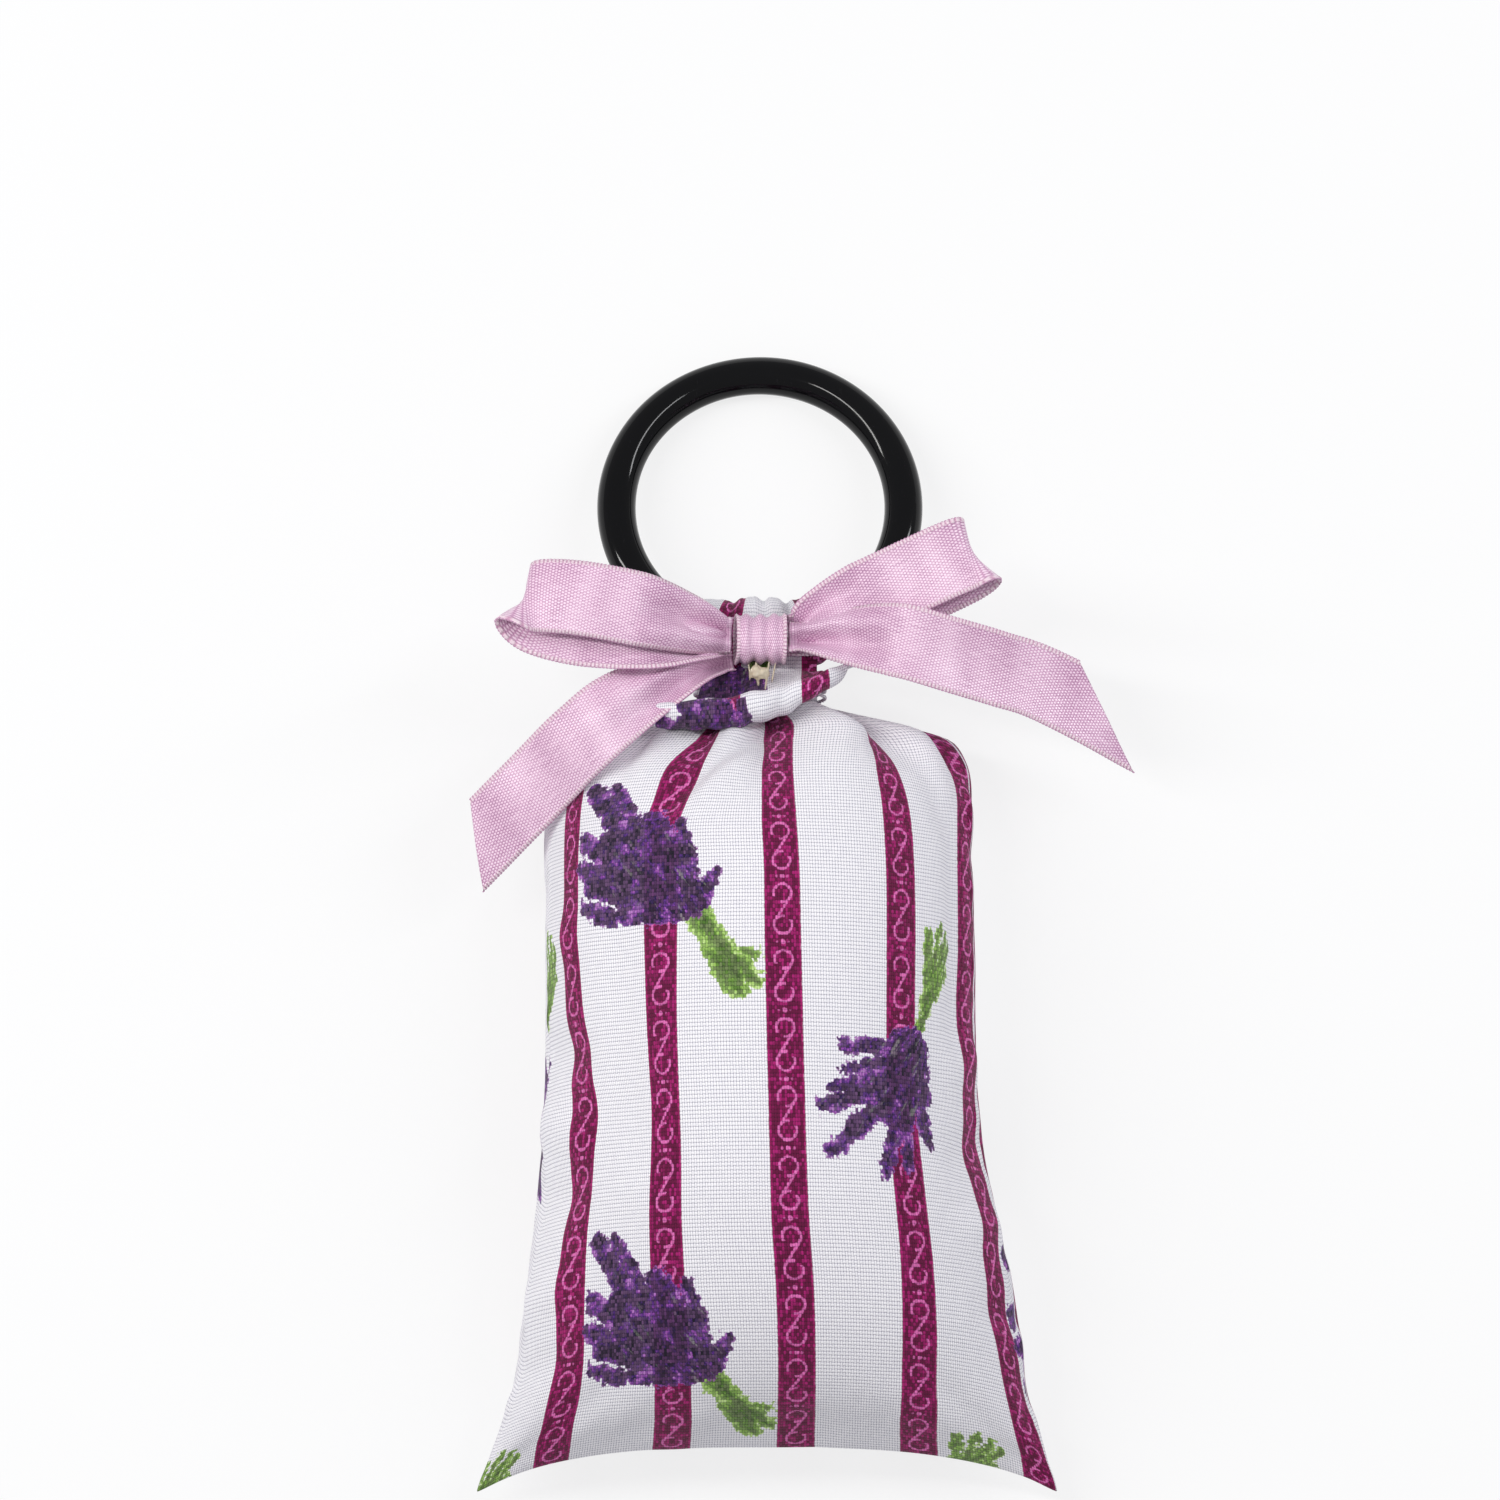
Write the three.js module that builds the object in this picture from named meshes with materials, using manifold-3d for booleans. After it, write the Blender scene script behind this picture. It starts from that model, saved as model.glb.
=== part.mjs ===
// Lavender sachet: a gathered cotton pouch on a plastic hanging ring, with a satin bow.
// Millimetres, +Z up. The sachet lies on its back with its ring towards +Y.
// The origin is the middle of the flat patch that the pouch rests on.
import * as THREE from 'three';
import { mergeVertices } from 'three/addons/utils/BufferGeometryUtils.js';
import Module from 'manifold-3d';

// General fits
const clearance = 0.3;
const clothThickness = 0.4;
const threadDiameter = 0.4;
const seamGap = threadDiameter + 2 * clearance;

// Pouch, from its bottom seam to its neck
const pouchLength = 106;
const flatHalfWidth = 41.5;
const frontSwell = 18.9;
const midHeight = 18.5;
const restCut = 0.5;
const backSwell = midHeight + restCut - seamGap / 2;
const neckDrop = 6.7;
const neckHeight = midHeight - neckDrop;
const restShare = 0.4623;
const earReach = 5.5;
const earDrop = 4;
const pleatHeight = 3;
const puckerDepth = 1.5;
const seamDraw = 0.7;
const fillingInset = 1.2;

// Ring and the cloth loop round its wire
const ringRadius = 20.3;
const wireRadius = 2.7;
const wireDrop = 0.8;
const wireHeight = neckHeight - wireDrop;
const loopRadius = 6.3;
const loopEndRadius = 4.1;
const loopHalfAngle = THREE.MathUtils.degToRad(26);
const loopRib = 0.45;
const loopRibs = 5;
const loopBore = wireRadius + clearance;
const loopClearance = loopRadius + clearance;

// Gathered neck and its tie
const neckReach = 10;
const neckHalfWidth = 8.6;
const neckHalfHeight = 5.5;
const neckEndHalfWidth = 9.8;
const neckEndHalfHeight = 6;
const neckEndLength = 0.6;
const neckTopReach = 5.6;
const neckPleats = 11;
const neckPleatShare = 0.07;
const tieDiameter = 0.55;
const tiePitch = 1.05;
const tieTurns = 2;

// Mouth of the pouch, folded forward over the neck and curled
const mouthThickness = 0.9;
const mouthNeckHalfWidth = 8;
const mouthLeft = 19;
const mouthRight = 13.5;
const mouthStart = 6.1;
const mouthMiddle = 14.4;
const mouthSlant = 3.2;
const mouthCrescent = 2.7;
const mouthRise = 6.5;
const mouthFloor = neckHeight + mouthRise;
const mouthLift = 4;
const mouthWave = 0.6;
const curlRadius = 1.9;
const curlEndShare = 0.45;
const liftEndShare = 0.8;
const curlTurn = THREE.MathUtils.degToRad(235);

// Bow
const ribbonWidth = 10.5;
const ribbonThickness = 0.4;
const knotLength = 7.4;
const knotWidth = 7.2;
const knotHeight = 6.4;
const knotAhead = -1.9;
const leftLoopReach = 29;
const rightLoopReach = 26.2;
const leftTailReach = 38.5;
const rightTailReach = 50.6;
const leftTailCut = 0.15;
const rightTailCut = 0.25;
const bowRise = 4.2;
const glueLength = 5;
const glueWidth = 3.4;
const glueHeight = 2;

const bottomY = -restShare * pouchLength;
const pouchEnd = bottomY + pouchLength;
const wireAhead = pouchEnd + neckReach;
const wirePlace = new THREE.Vector3(0, wireAhead, wireHeight);
const ringTilt = Math.asin((wireHeight - wireRadius) / (2 * ringRadius));
const knotBottom = wireHeight + loopClearance;
const knotMiddle = knotBottom + knotHeight / 2;

// Shapes along the pouch: place along it as a share, then a share of the size that it follows
const leftWidthShares = [
  [0, 0.978], [0.1, 0.865], [0.2, 0.807], [0.3, 0.764], [0.4, 0.737], [0.5, 0.725], [0.7, 0.72],
  [0.88, 0.713], [0.93, 0.645], [0.965, 0.53], [0.985, 0.38], [1, 0.236],
];
const rightWidthShares = [
  [0, 1.024], [0.1, 0.932], [0.2, 0.875], [0.3, 0.805], [0.4, 0.754], [0.5, 0.73], [0.7, 0.72],
  [0.88, 0.696], [0.93, 0.655], [0.965, 0.575], [0.985, 0.42], [1, 0.236],
];
const frontSwellShares = [
  [0, 0], [0.03, 0.27], [0.07, 0.5], [0.14, 0.73], [0.21, 0.84], [0.28, 0.915], [0.35, 0.96],
  [0.45, 1], [0.6, 1], [0.68, 0.98], [0.76, 0.92], [0.83, 0.83], [0.89, 0.69], [0.94, 0.5],
  [0.97, 0.412], [1, 0.328],
];
const backSwellShares = [
  [0, 0], [0.03, 0.3], [0.08, 0.61], [0.14, 0.79], [0.21, 0.89], [0.3, 0.96], [0.4, 1], [0.6, 1],
  [0.72, 0.97], [0.83, 0.82], [0.91, 0.58], [0.96, 0.38], [1, 0.31],
];
const midHeightShares = [
  [0, 0.62], [0.1, 0.77], [0.2, 0.9], [0.32, 0.985], [0.45, 1], [0.6, 1], [0.75, 0.95],
  [0.88, 0.81], [1, neckHeight / midHeight],
];
const earShares = [[0, 1], [0.08, 0.5], [0.18, 0.12], [0.3, 0], [1, 0]];
const pleatShares = [[0, 0], [0.6, 0], [0.78, 0.45], [0.9, 1], [0.96, 0.45], [0.985, 0.1], [1, 0]];
const puckerShares = [[0, 0], [0.1, 0.6], [0.3, 1], [0.6, 1], [0.8, 0.6], [0.92, 0], [1, 0]];

// Folds by the neck: place across, width and height, all as shares
const frontRidgeShares = [
  [-0.78, 0.09, 0.6], [-0.5, 0.1, 0.35], [-0.22, 0.09, 0.55], [0.08, 0.08, 0.3],
  [0.36, 0.15, 1], [0.7, 0.1, 0.7],
];
const backRidgeShares = [
  [-0.75, 0.1, 0.5], [-0.42, 0.11, 0.7], [-0.1, 0.1, 0.6], [0.22, 0.11, 0.75], [0.6, 0.12, 0.6],
];
const puckerCount = 6;

// Reads a smooth curve through a table of places and values
function follow(table, place) {
  let i = 0;
  while (i < table.length - 2 && place > table[i + 1][0]) i += 1;
  const slope = (k) => {
    const before = table[Math.max(k - 1, 0)];
    const after = table[Math.min(k + 1, table.length - 1)];
    return (after[1] - before[1]) / (after[0] - before[0]);
  };
  const [start, end] = [table[i], table[i + 1]];
  const span = end[0] - start[0];
  const t = THREE.MathUtils.clamp((place - start[0]) / span, 0, 1);
  const rise = end[1] - start[1];
  const lead = slope(i) * span;
  const trail = slope(i + 1) * span;
  return start[1] + t * lead + t * t * (3 * rise - 2 * lead - trail) + t * t * t * (lead + trail - 2 * rise);
}

// Turns a list of corners and triangles into a geometry with its faces outwards
function closedGeometry(corners, faces) {
  let volume = 0;
  for (const [a, b, c] of faces) {
    volume += corners[a].dot(new THREE.Vector3().crossVectors(corners[b], corners[c]));
  }
  const outward = volume > 0 ? faces : faces.map(([a, b, c]) => [a, c, b]);
  const geometry = new THREE.BufferGeometry();
  geometry.setAttribute('position', new THREE.Float32BufferAttribute(corners.flatMap((p) => p.toArray()), 3));
  geometry.setIndex(outward.flat());
  geometry.computeVertexNormals();
  return geometry;
}

// Closed body between two sheets, each a function of a place across and along, from 0 to 1.
// A wrapped body joins its two long edges, as a sleeve does.
function bodyBetween(upper, lower, columns, rows, wrapped = false) {
  const across = wrapped ? columns : columns + 1;
  const corners = [];
  for (const sheet of [upper, lower]) {
    for (let row = 0; row <= rows; row += 1) {
      for (let column = 0; column < across; column += 1) corners.push(sheet(column / columns, row / rows));
    }
  }
  const layer = across * (rows + 1);
  const corner = (side, column, row) => side * layer + row * across + (column % across);
  const faces = [];
  const addQuad = (a, b, c, d) => faces.push([a, b, c], [a, c, d]);
  for (let row = 0; row < rows; row += 1) {
    for (let column = 0; column < columns; column += 1) {
      const [left, right] = [column, column + 1];
      const next = row + 1;
      addQuad(corner(0, left, row), corner(0, right, row), corner(0, right, next), corner(0, left, next));
      addQuad(corner(1, left, row), corner(1, left, next), corner(1, right, next), corner(1, right, row));
    }
  }
  for (let column = 0; column < columns; column += 1) {
    const [left, right] = [column, column + 1];
    addQuad(corner(0, left, 0), corner(1, left, 0), corner(1, right, 0), corner(0, right, 0));
    addQuad(corner(0, left, rows), corner(0, right, rows), corner(1, right, rows), corner(1, left, rows));
  }
  if (!wrapped) {
    for (let row = 0; row < rows; row += 1) {
      const [end, next] = [columns, row + 1];
      addQuad(corner(0, 0, row), corner(0, 0, next), corner(1, 0, next), corner(1, 0, row));
      addQuad(corner(0, end, row), corner(1, end, row), corner(1, end, next), corner(0, end, next));
    }
  }
  return closedGeometry(corners, faces);
}

// Solid through a row of closed sections, with its two ends fanned shut
function loft(sections) {
  const sides = sections[0].length;
  const corners = sections.flat();
  const faces = [];
  for (let row = 0; row < sections.length - 1; row += 1) {
    for (let side = 0; side < sides; side += 1) {
      const next = (side + 1) % sides;
      const [a, b] = [row * sides + side, row * sides + next];
      faces.push([a, b, b + sides], [a, b + sides, a + sides]);
    }
  }
  for (const end of [0, sections.length - 1]) {
    const middle = new THREE.Vector3();
    for (const point of sections[end]) middle.addScaledVector(point, 1 / sides);
    const hub = corners.push(middle) - 1;
    for (let side = 0; side < sides; side += 1) {
      const [a, b] = [end * sides + side, end * sides + (side + 1) % sides];
      faces.push(end === 0 ? [hub, b, a] : [hub, a, b]);
    }
  }
  return closedGeometry(corners, faces);
}

// Round thread along a route
function threadGeometry(points, diameter, steps) {
  const sides = 6;
  const section = new THREE.Shape();
  for (let side = 0; side < sides; side += 1) {
    const angle = (2 * Math.PI * side) / sides;
    const [x, y] = [Math.cos(angle) * diameter / 2, Math.sin(angle) * diameter / 2];
    if (side === 0) section.moveTo(x, y);
    else section.lineTo(x, y);
  }
  section.closePath();
  const route = new THREE.CatmullRomCurve3(points);
  return new THREE.ExtrudeGeometry(section, { extrudePath: route, steps });
}

// Height of the front across its width: round, and drawn in by its side seams
function frontRound(turn) {
  return Math.max(Math.cos(turn), 0) ** 1.1 * (1 - seamDraw * Math.abs(Math.sin(turn)) ** 10);
}

// Height of the back across its width: flat where it rests, and round by the neck
function backRound(turn, along) {
  const nearNeck = THREE.MathUtils.smoothstep(along, 0.75, 0.97);
  const squareness = THREE.MathUtils.lerp(7, 2, nearNeck);
  const level = 1 - Math.abs(Math.sin(turn)) ** squareness;
  return Math.max(level, 0) ** THREE.MathUtils.lerp(0.6, 0.5, nearNeck);
}

// Cloth of the pouch. across runs from the left seam at -1 to the right one at 1, along from the
// bottom seam at 0 to the neck at 1, and face is 1 on the front and -1 on the back.
function clothPoint(across, along, face) {
  const widths = across < 0 ? leftWidthShares : rightWidthShares;
  const turn = across * Math.PI / 2;
  const edge = Math.abs(across) ** 8;
  const pucker = puckerDepth * follow(puckerShares, along) * Math.sin(2 * Math.PI * puckerCount * along) ** 2;
  const halfWidth = flatHalfWidth * follow(widths, along) - pucker * edge;
  const ear = follow(earShares, along) * Math.abs(Math.sin(turn)) ** 3;
  let rise = face > 0 ? frontSwell * follow(frontSwellShares, along) * frontRound(turn)
    : backSwell * follow(backSwellShares, along) * backRound(turn, along);
  for (const [place, width, height] of face > 0 ? frontRidgeShares : backRidgeShares) {
    const ridge = Math.exp(-(((across - place) / width) ** 2)) * height;
    rise += pleatHeight * follow(pleatShares, along) * ridge * Math.cos(turn);
  }
  return {
    point: new THREE.Vector3(
      halfWidth * Math.sin(turn),
      bottomY + along * pouchLength - earReach * ear,
      midHeight * follow(midHeightShares, along) - earDrop * ear + face * rise,
    ),
    middle: midHeight * follow(midHeightShares, along) - earDrop * ear,
  };
}

// The same cloth, moved inwards by a depth and kept clear of the seam and of the floor
function insetPoint(across, along, face, depth) {
  const stepShare = 0.004;
  const { point, middle } = clothPoint(across, along, face);
  const side = clothPoint(THREE.MathUtils.clamp(across + stepShare, -1, 1), along, face).point
    .sub(clothPoint(THREE.MathUtils.clamp(across - stepShare, -1, 1), along, face).point);
  const ahead = clothPoint(across, THREE.MathUtils.clamp(along + stepShare, 0, 1), face).point
    .sub(clothPoint(across, THREE.MathUtils.clamp(along - stepShare, 0, 1), face).point);
  const inward = new THREE.Vector3().crossVectors(side, ahead).normalize().multiplyScalar(-face);
  point.addScaledVector(inward, depth);
  point.z = face > 0 ? Math.max(point.z, middle) : Math.min(point.z, middle);
  point.z = Math.max(point.z + face * seamGap / 2, depth);
  return point;
}

// Rows crowd towards the bottom seam and the neck, where the cloth turns fastest
const crowded = (share) => share - 0.6 * Math.sin(2 * Math.PI * share) / (2 * Math.PI);

function panelGeometry(face, columns, rows) {
  const sheet = (depth) => (u, v) => insetPoint(2 * u - 1, crowded(v), face, depth);
  return bodyBetween(sheet(0), sheet(clothThickness), columns, rows);
}

function fillingGeometry() {
  const reachShare = 0.86;
  const startShare = 0.06;
  const endShare = 0.95;
  const sheet = (face) => (u, v) => {
    const along = startShare + (endShare - startShare) * v;
    return insetPoint((2 * u - 1) * reachShare, along, face, clothThickness + fillingInset);
  };
  return bodyBetween(sheet(1), sheet(-1), 22, 16);
}

function sideSeamGeometry(side) {
  const startShare = 0.03;
  const endShare = 0.94;
  const stitches = 26;
  const points = [];
  for (let i = 0; i <= stitches; i += 1) {
    const along = startShare + (endShare - startShare) * i / stitches;
    const { point } = clothPoint(side, along, 1);
    point.x -= side * threadDiameter;
    points.push(point);
  }
  return threadGeometry(points, threadDiameter, stitches);
}

function bottomSeamGeometry() {
  const reachShare = 0.88;
  const stitches = 22;
  const points = [];
  for (let i = 0; i <= stitches; i += 1) {
    const { point } = clothPoint((2 * i / stitches - 1) * reachShare, 0, 1);
    point.y += threadDiameter;
    points.push(point);
  }
  return threadGeometry(points, threadDiameter, stitches);
}

// Ellipse across the neck with its gathers
function neckSection(y, halfWidth, halfHeight, points) {
  const section = [];
  for (let i = 0; i < points; i += 1) {
    const angle = (2 * Math.PI * i) / points;
    const fold = 1 - neckPleatShare * (1 - Math.cos(neckPleats * angle)) / 2;
    section.push(new THREE.Vector3(
      halfWidth * fold * Math.cos(angle),
      y,
      neckHeight + halfHeight * fold * Math.sin(angle),
    ));
  }
  return section;
}

const neckStart = pouchEnd + clearance;
const neckPlain = neckStart + neckEndLength;

function tiePoints() {
  const steps = 24;
  const points = [];
  const first = neckPlain + tieDiameter / 2;
  const reach = tieDiameter / 2 + clearance;
  for (let i = 0; i <= steps * tieTurns; i += 1) {
    const angle = (2 * Math.PI * i) / steps;
    points.push(new THREE.Vector3(
      (neckHalfWidth + reach) * Math.sin(angle),
      first + (tiePitch * i) / steps,
      neckHeight - (neckHalfHeight + reach) * Math.cos(angle),
    ));
  }
  return points;
}

// Least distance between neighbouring turns of the tie, less its own thickness
function tieGap(points) {
  const perTurn = (points.length - 1) / tieTurns;
  let least = Infinity;
  for (let i = 0; i < points.length; i += 1) {
    for (let j = i + Math.ceil(perTurn / 2); j < points.length; j += 1) {
      least = Math.min(least, points[i].distanceTo(points[j]) - tieDiameter);
    }
  }
  return least;
}

function cylinderAcross(radius, length) {
  const geometry = new THREE.CylinderGeometry(radius, radius, length, 48);
  return geometry.rotateZ(Math.PI / 2).translate(wirePlace.x, wirePlace.y, wirePlace.z);
}

const wasm = await Module();
wasm.setup();

function toSolid(geometry) {
  const bare = geometry.clone();
  for (const name of ['normal', 'uv']) bare.deleteAttribute(name);
  const merged = mergeVertices(bare);
  return new wasm.Manifold(new wasm.Mesh({
    numProp: 3,
    vertProperties: Float32Array.from(merged.attributes.position.array),
    triVerts: Uint32Array.from(merged.index.array),
  }));
}

function toGeometry(solid) {
  const mesh = solid.getMesh();
  const geometry = new THREE.BufferGeometry();
  geometry.setAttribute('position', new THREE.BufferAttribute(mesh.vertProperties, 3));
  geometry.setIndex(new THREE.BufferAttribute(mesh.triVerts, 1));
  geometry.computeVertexNormals();
  return geometry;
}

// The bunched cloth runs up to the loop and is scooped out where the loop turns
function neckGeometry() {
  const points = 66;
  const sections = [
    neckSection(neckStart, neckEndHalfWidth, neckEndHalfHeight, points),
    neckSection(neckPlain, neckHalfWidth, neckHalfHeight, points),
    neckSection(wireAhead - loopClearance + neckTopReach / 2, neckHalfWidth, neckHalfHeight, points),
    neckSection(wireAhead - loopClearance + neckTopReach, neckHalfWidth, neckHalfHeight, points),
  ];
  const scoop = toSolid(cylinderAcross(loopClearance, 4 * neckHalfWidth));
  return toGeometry(toSolid(loft(sections)).subtract(scoop));
}

// Sleeve of gathered cloth round the bottom of the ring's wire, in the ring's own plane:
// the ring's centre is at the origin and the wire's lowest point at -Y
function loopSheet(bore) {
  return (u, v) => {
    const turn = (2 * v - 1) * loopHalfAngle;
    const angle = 2 * Math.PI * u;
    const away = Math.abs(2 * v - 1);
    const full = THREE.MathUtils.lerp(loopRadius, loopEndRadius, away ** 1.5);
    const rib = loopRib * (1 + Math.cos(2 * Math.PI * loopRibs * v)) / 2;
    const radius = bore ? loopBore : full - rib;
    const reach = ringRadius + radius * Math.cos(angle);
    return new THREE.Vector3(reach * Math.sin(turn), -reach * Math.cos(turn), radius * Math.sin(angle));
  };
}

// Mouth of the pouch: lies forward on the neck, spreads, and curls up along its edge
function mouthSheet(depth) {
  const runShare = 0.3;
  return (u, v) => {
    const across = 2 * u - 1;
    const spread = THREE.MathUtils.smoothstep(v, 0, 1);
    const side = across < 0 ? mouthLeft : mouthRight;
    const roll = curlRadius * THREE.MathUtils.lerp(1, curlEndShare, across ** 2);
    const edge = mouthMiddle - mouthSlant * across - mouthCrescent * across ** 2 - roll;
    const run = THREE.MathUtils.clamp(v / runShare, 0, 1);
    const curl = curlTurn * Math.max(v - runShare, 0) / (1 - runShare);
    const curled = run === 1;
    const radius = curled ? roll - depth : roll;
    const rise = mouthLift * THREE.MathUtils.lerp(1, liftEndShare, across ** 2);
    const lift = (rise + mouthWave * Math.cos(3 * Math.PI * across)) * run;
    return new THREE.Vector3(
      THREE.MathUtils.lerp(mouthNeckHalfWidth, side, spread) * across,
      wireAhead - THREE.MathUtils.lerp(mouthStart, edge, run) - radius * Math.sin(curl),
      mouthFloor + lift + roll - radius * Math.cos(curl) + (curled ? 0 : depth),
    );
  };
}

// Ribbon along a route of shares. Each row holds a place along the bow (X), a place towards the
// ring (Y) and a height (Z) as shares of the reach, the ribbon's width and the bow's rise, then
// the direction of its width in the XY plane in turns and the share of its width that is open.
// A cut shortens one edge by that share, so that the ribbon ends at a slant.
function ribbonGeometry(rows, side, reach, steps, cut = 0) {
  const column = (index) => rows.map((row, i) => [i / (rows.length - 1), row[index]]);
  const [xs, ys, zs, turns, opens] = [0, 1, 2, 3, 4].map(column);
  const startX = side * (knotLength / 2 + clearance);
  const centre = (t) => new THREE.Vector3(
    startX + side * reach * follow(xs, t),
    wireAhead + knotAhead + ribbonWidth * follow(ys, t),
    knotMiddle + bowRise * follow(zs, t),
  );
  const stepShare = 0.01;
  const sheet = (lift) => (u, along) => {
    const v = along * (1 - cut * u);
    const ahead = centre(Math.min(v + stepShare, 1)).sub(centre(Math.max(v - stepShare, 0))).normalize();
    const atKnot = Math.abs(follow(xs, v)) < 1e-6;
    if (atKnot) ahead.set(Math.sign(ahead.x), 0, 0);
    const turn = 2 * Math.PI * follow(turns, v);
    const width = new THREE.Vector3(side * Math.sin(turn), Math.cos(turn), 0);
    width.addScaledVector(ahead, -width.dot(ahead)).normalize();
    const normal = new THREE.Vector3().crossVectors(ahead, width);
    const reachAcross = (u - 0.5) * ribbonWidth * follow(opens, v);
    return centre(v).addScaledVector(width, reachAcross).addScaledVector(normal, lift * ribbonThickness / 2);
  };
  return bodyBetween(sheet(1), sheet(-1), 2, steps);
}

const leftLoopShares = [
  [0, 0.02, 0.5, 0, 0.45], [0.06, 0.03, 0.55, 0, 0.5], [0.18, 0.1, 1.35, 0, 0.75],
  [0.45, 0.24, 2.3, -0.015, 1], [0.75, 0.38, 2.5, -0.045, 1], [0.95, 0.43, 2.2, -0.062, 1],
  [1, 0.36, 1.85, -0.067, 1], [0.93, 0.16, 1.72, -0.055, 1], [0.7, 0, 1.7, -0.03, 1],
  [0.4, -0.06, 1.68, -0.01, 0.95], [0.17, -0.02, 0.98, 0, 0.7], [0.06, 0, 0.25, 0, 0.5],
  [0, 0, 0.2, 0, 0.45],
];
const rightLoopShares = [
  [0, 0.08, 0.15, 0, 0.45], [0.06, 0.1, 0.19, 0, 0.5], [0.16, 0.22, 0.48, -0.02, 0.75],
  [0.42, 0.5, 0.9, -0.045, 1], [0.72, 0.82, 1.33, -0.07, 1], [0.94, 1.04, 1.55, -0.095, 1],
  [1, 1.05, 1.25, -0.1, 1], [0.93, 0.93, 0.85, -0.095, 1], [0.7, 0.68, 0.43, -0.07, 1],
  [0.4, 0.34, 0.26, -0.04, 0.95], [0.17, 0.1, 0.05, 0, 0.7], [0.06, 0.02, -0.12, 0, 0.5],
  [0, 0.02, -0.15, 0, 0.45],
];
const leftTailShares = [
  [0, -0.2, -0.15, 0, 0.42], [0.05, -0.24, -0.1, 0.03, 0.45], [0.15, -0.4, 0.62, 0.06, 0.62],
  [0.39, -0.97, 1.42, 0.1, 0.95], [0.55, -1.45, 1.2, 0.11, 1], [0.7, -1.95, 0.35, 0.12, 1],
  [1, -2.97, -1.25, 0.13, 1],
];
const rightTailShares = [
  [0, 0, 0.46, 0, 0.42], [0.05, 0, 0.5, 0, 0.45], [0.166, -0.03, 1.07, 0.01, 0.8],
  [0.304, -0.14, 1.6, 0.026, 1], [0.429, -0.3, 1.52, 0.04, 1], [0.583, -0.47, 0.88, 0.04, 1],
  [0.72, -0.65, 0.17, 0.045, 1], [1, -1.26, -1.2, 0.065, 1],
];

// Flattened wrap of ribbon, drawn in at its middle
function knotGeometry() {
  const sections = [];
  const stations = 6;
  const points = 20;
  const squareness = 0.6;
  const waistShare = 0.08;
  const rounded = (value) => Math.sign(value) * Math.abs(value) ** squareness;
  for (let i = 0; i <= stations; i += 1) {
    const place = 2 * i / stations - 1;
    const full = 1 - waistShare * (1 - place ** 2);
    const section = [];
    for (let j = 0; j < points; j += 1) {
      const angle = (2 * Math.PI * j) / points;
      section.push(new THREE.Vector3(
        knotLength / 2 * place,
        wireAhead + knotAhead + knotWidth / 2 * full * rounded(Math.cos(angle)),
        knotMiddle + knotHeight / 2 * full * rounded(Math.sin(angle)),
      ));
    }
    sections.push(section);
  }
  return loft(sections);
}

// Dab of glue between the knot and the mouth
function glueGeometry() {
  const asideShare = 0.2;
  const geometry = new THREE.SphereGeometry(1, 14, 8);
  geometry.rotateX(Math.PI / 2);
  geometry.scale(glueLength / 2, glueWidth / 2, glueHeight / 2);
  const away = knotWidth / 2 - knotAhead + glueWidth / 2;
  return geometry.translate(
    -glueLength * asideShare,
    wireAhead - away,
    mouthFloor + mouthLift / 2 + mouthThickness + clearance + glueHeight / 2,
  );
}

const looks = {
  cloth: { color: 0xe9e6ee, roughness: 0.9, metalness: 0 },
  lavender: { color: 0x7d6f9c, roughness: 1, metalness: 0 },
  thread: { color: 0xf2f0f2, roughness: 0.8, metalness: 0 },
  plastic: { color: 0x0b0b0d, roughness: 0.15, metalness: 0 },
  ribbon: { color: 0xe6cfdc, roughness: 0.4, metalness: 0 },
  glue: { color: 0xd9c9a0, roughness: 0.35, metalness: 0 },
};

const sachet = new THREE.Group();

function addPiece(name, geometry, look, parent = sachet) {
  const mesh = new THREE.Mesh(geometry, new THREE.MeshStandardMaterial(looks[look]));
  mesh.name = name;
  parent.add(mesh);
  return mesh;
}

addPiece('pouch_front', panelGeometry(1, 30, 18), 'cloth');
addPiece('pouch_back', panelGeometry(-1, 24, 16), 'cloth');
addPiece('lavender_filling', fillingGeometry(), 'lavender');
addPiece('side_seam_left', sideSeamGeometry(-1), 'thread');
addPiece('side_seam_right', sideSeamGeometry(1), 'thread');
addPiece('bottom_seam', bottomSeamGeometry(), 'thread');
addPiece('neck_gather', neckGeometry(), 'cloth');

const tieRoute = tiePoints();
console.log(`least gap between turns of the tie: ${tieGap(tieRoute).toFixed(2)} mm`);
addPiece('neck_tie', threadGeometry(tieRoute, tieDiameter, tieRoute.length - 1), 'thread');

addPiece('mouth_curl', bodyBetween(mouthSheet(0), mouthSheet(mouthThickness), 26, 16), 'cloth');

// The ring leans down towards +Y until its far side lies on the floor
const ringPlane = new THREE.Group();
ringPlane.position.set(
  wirePlace.x,
  wirePlace.y + ringRadius * Math.cos(ringTilt),
  wirePlace.z - ringRadius * Math.sin(ringTilt),
);
ringPlane.rotation.x = -ringTilt;
sachet.add(ringPlane);
addPiece('hanging_ring', new THREE.TorusGeometry(ringRadius, wireRadius, 12, 48), 'plastic', ringPlane);
addPiece('hanging_loop', bodyBetween(loopSheet(false), loopSheet(true), 20, 20, true), 'cloth', ringPlane);

addPiece('glue_dab', glueGeometry(), 'glue');
addPiece('bow_knot', knotGeometry(), 'ribbon');
addPiece('bow_loop_left', ribbonGeometry(leftLoopShares, -1, leftLoopReach, 28), 'ribbon');
addPiece('bow_loop_right', ribbonGeometry(rightLoopShares, 1, rightLoopReach, 28), 'ribbon');
addPiece('bow_tail_left', ribbonGeometry(leftTailShares, -1, leftTailReach, 16, leftTailCut), 'ribbon');
addPiece('bow_tail_right', ribbonGeometry(rightTailShares, 1, rightTailReach, 16, rightTailCut), 'ribbon');

export default sachet;
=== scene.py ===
import math

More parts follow.
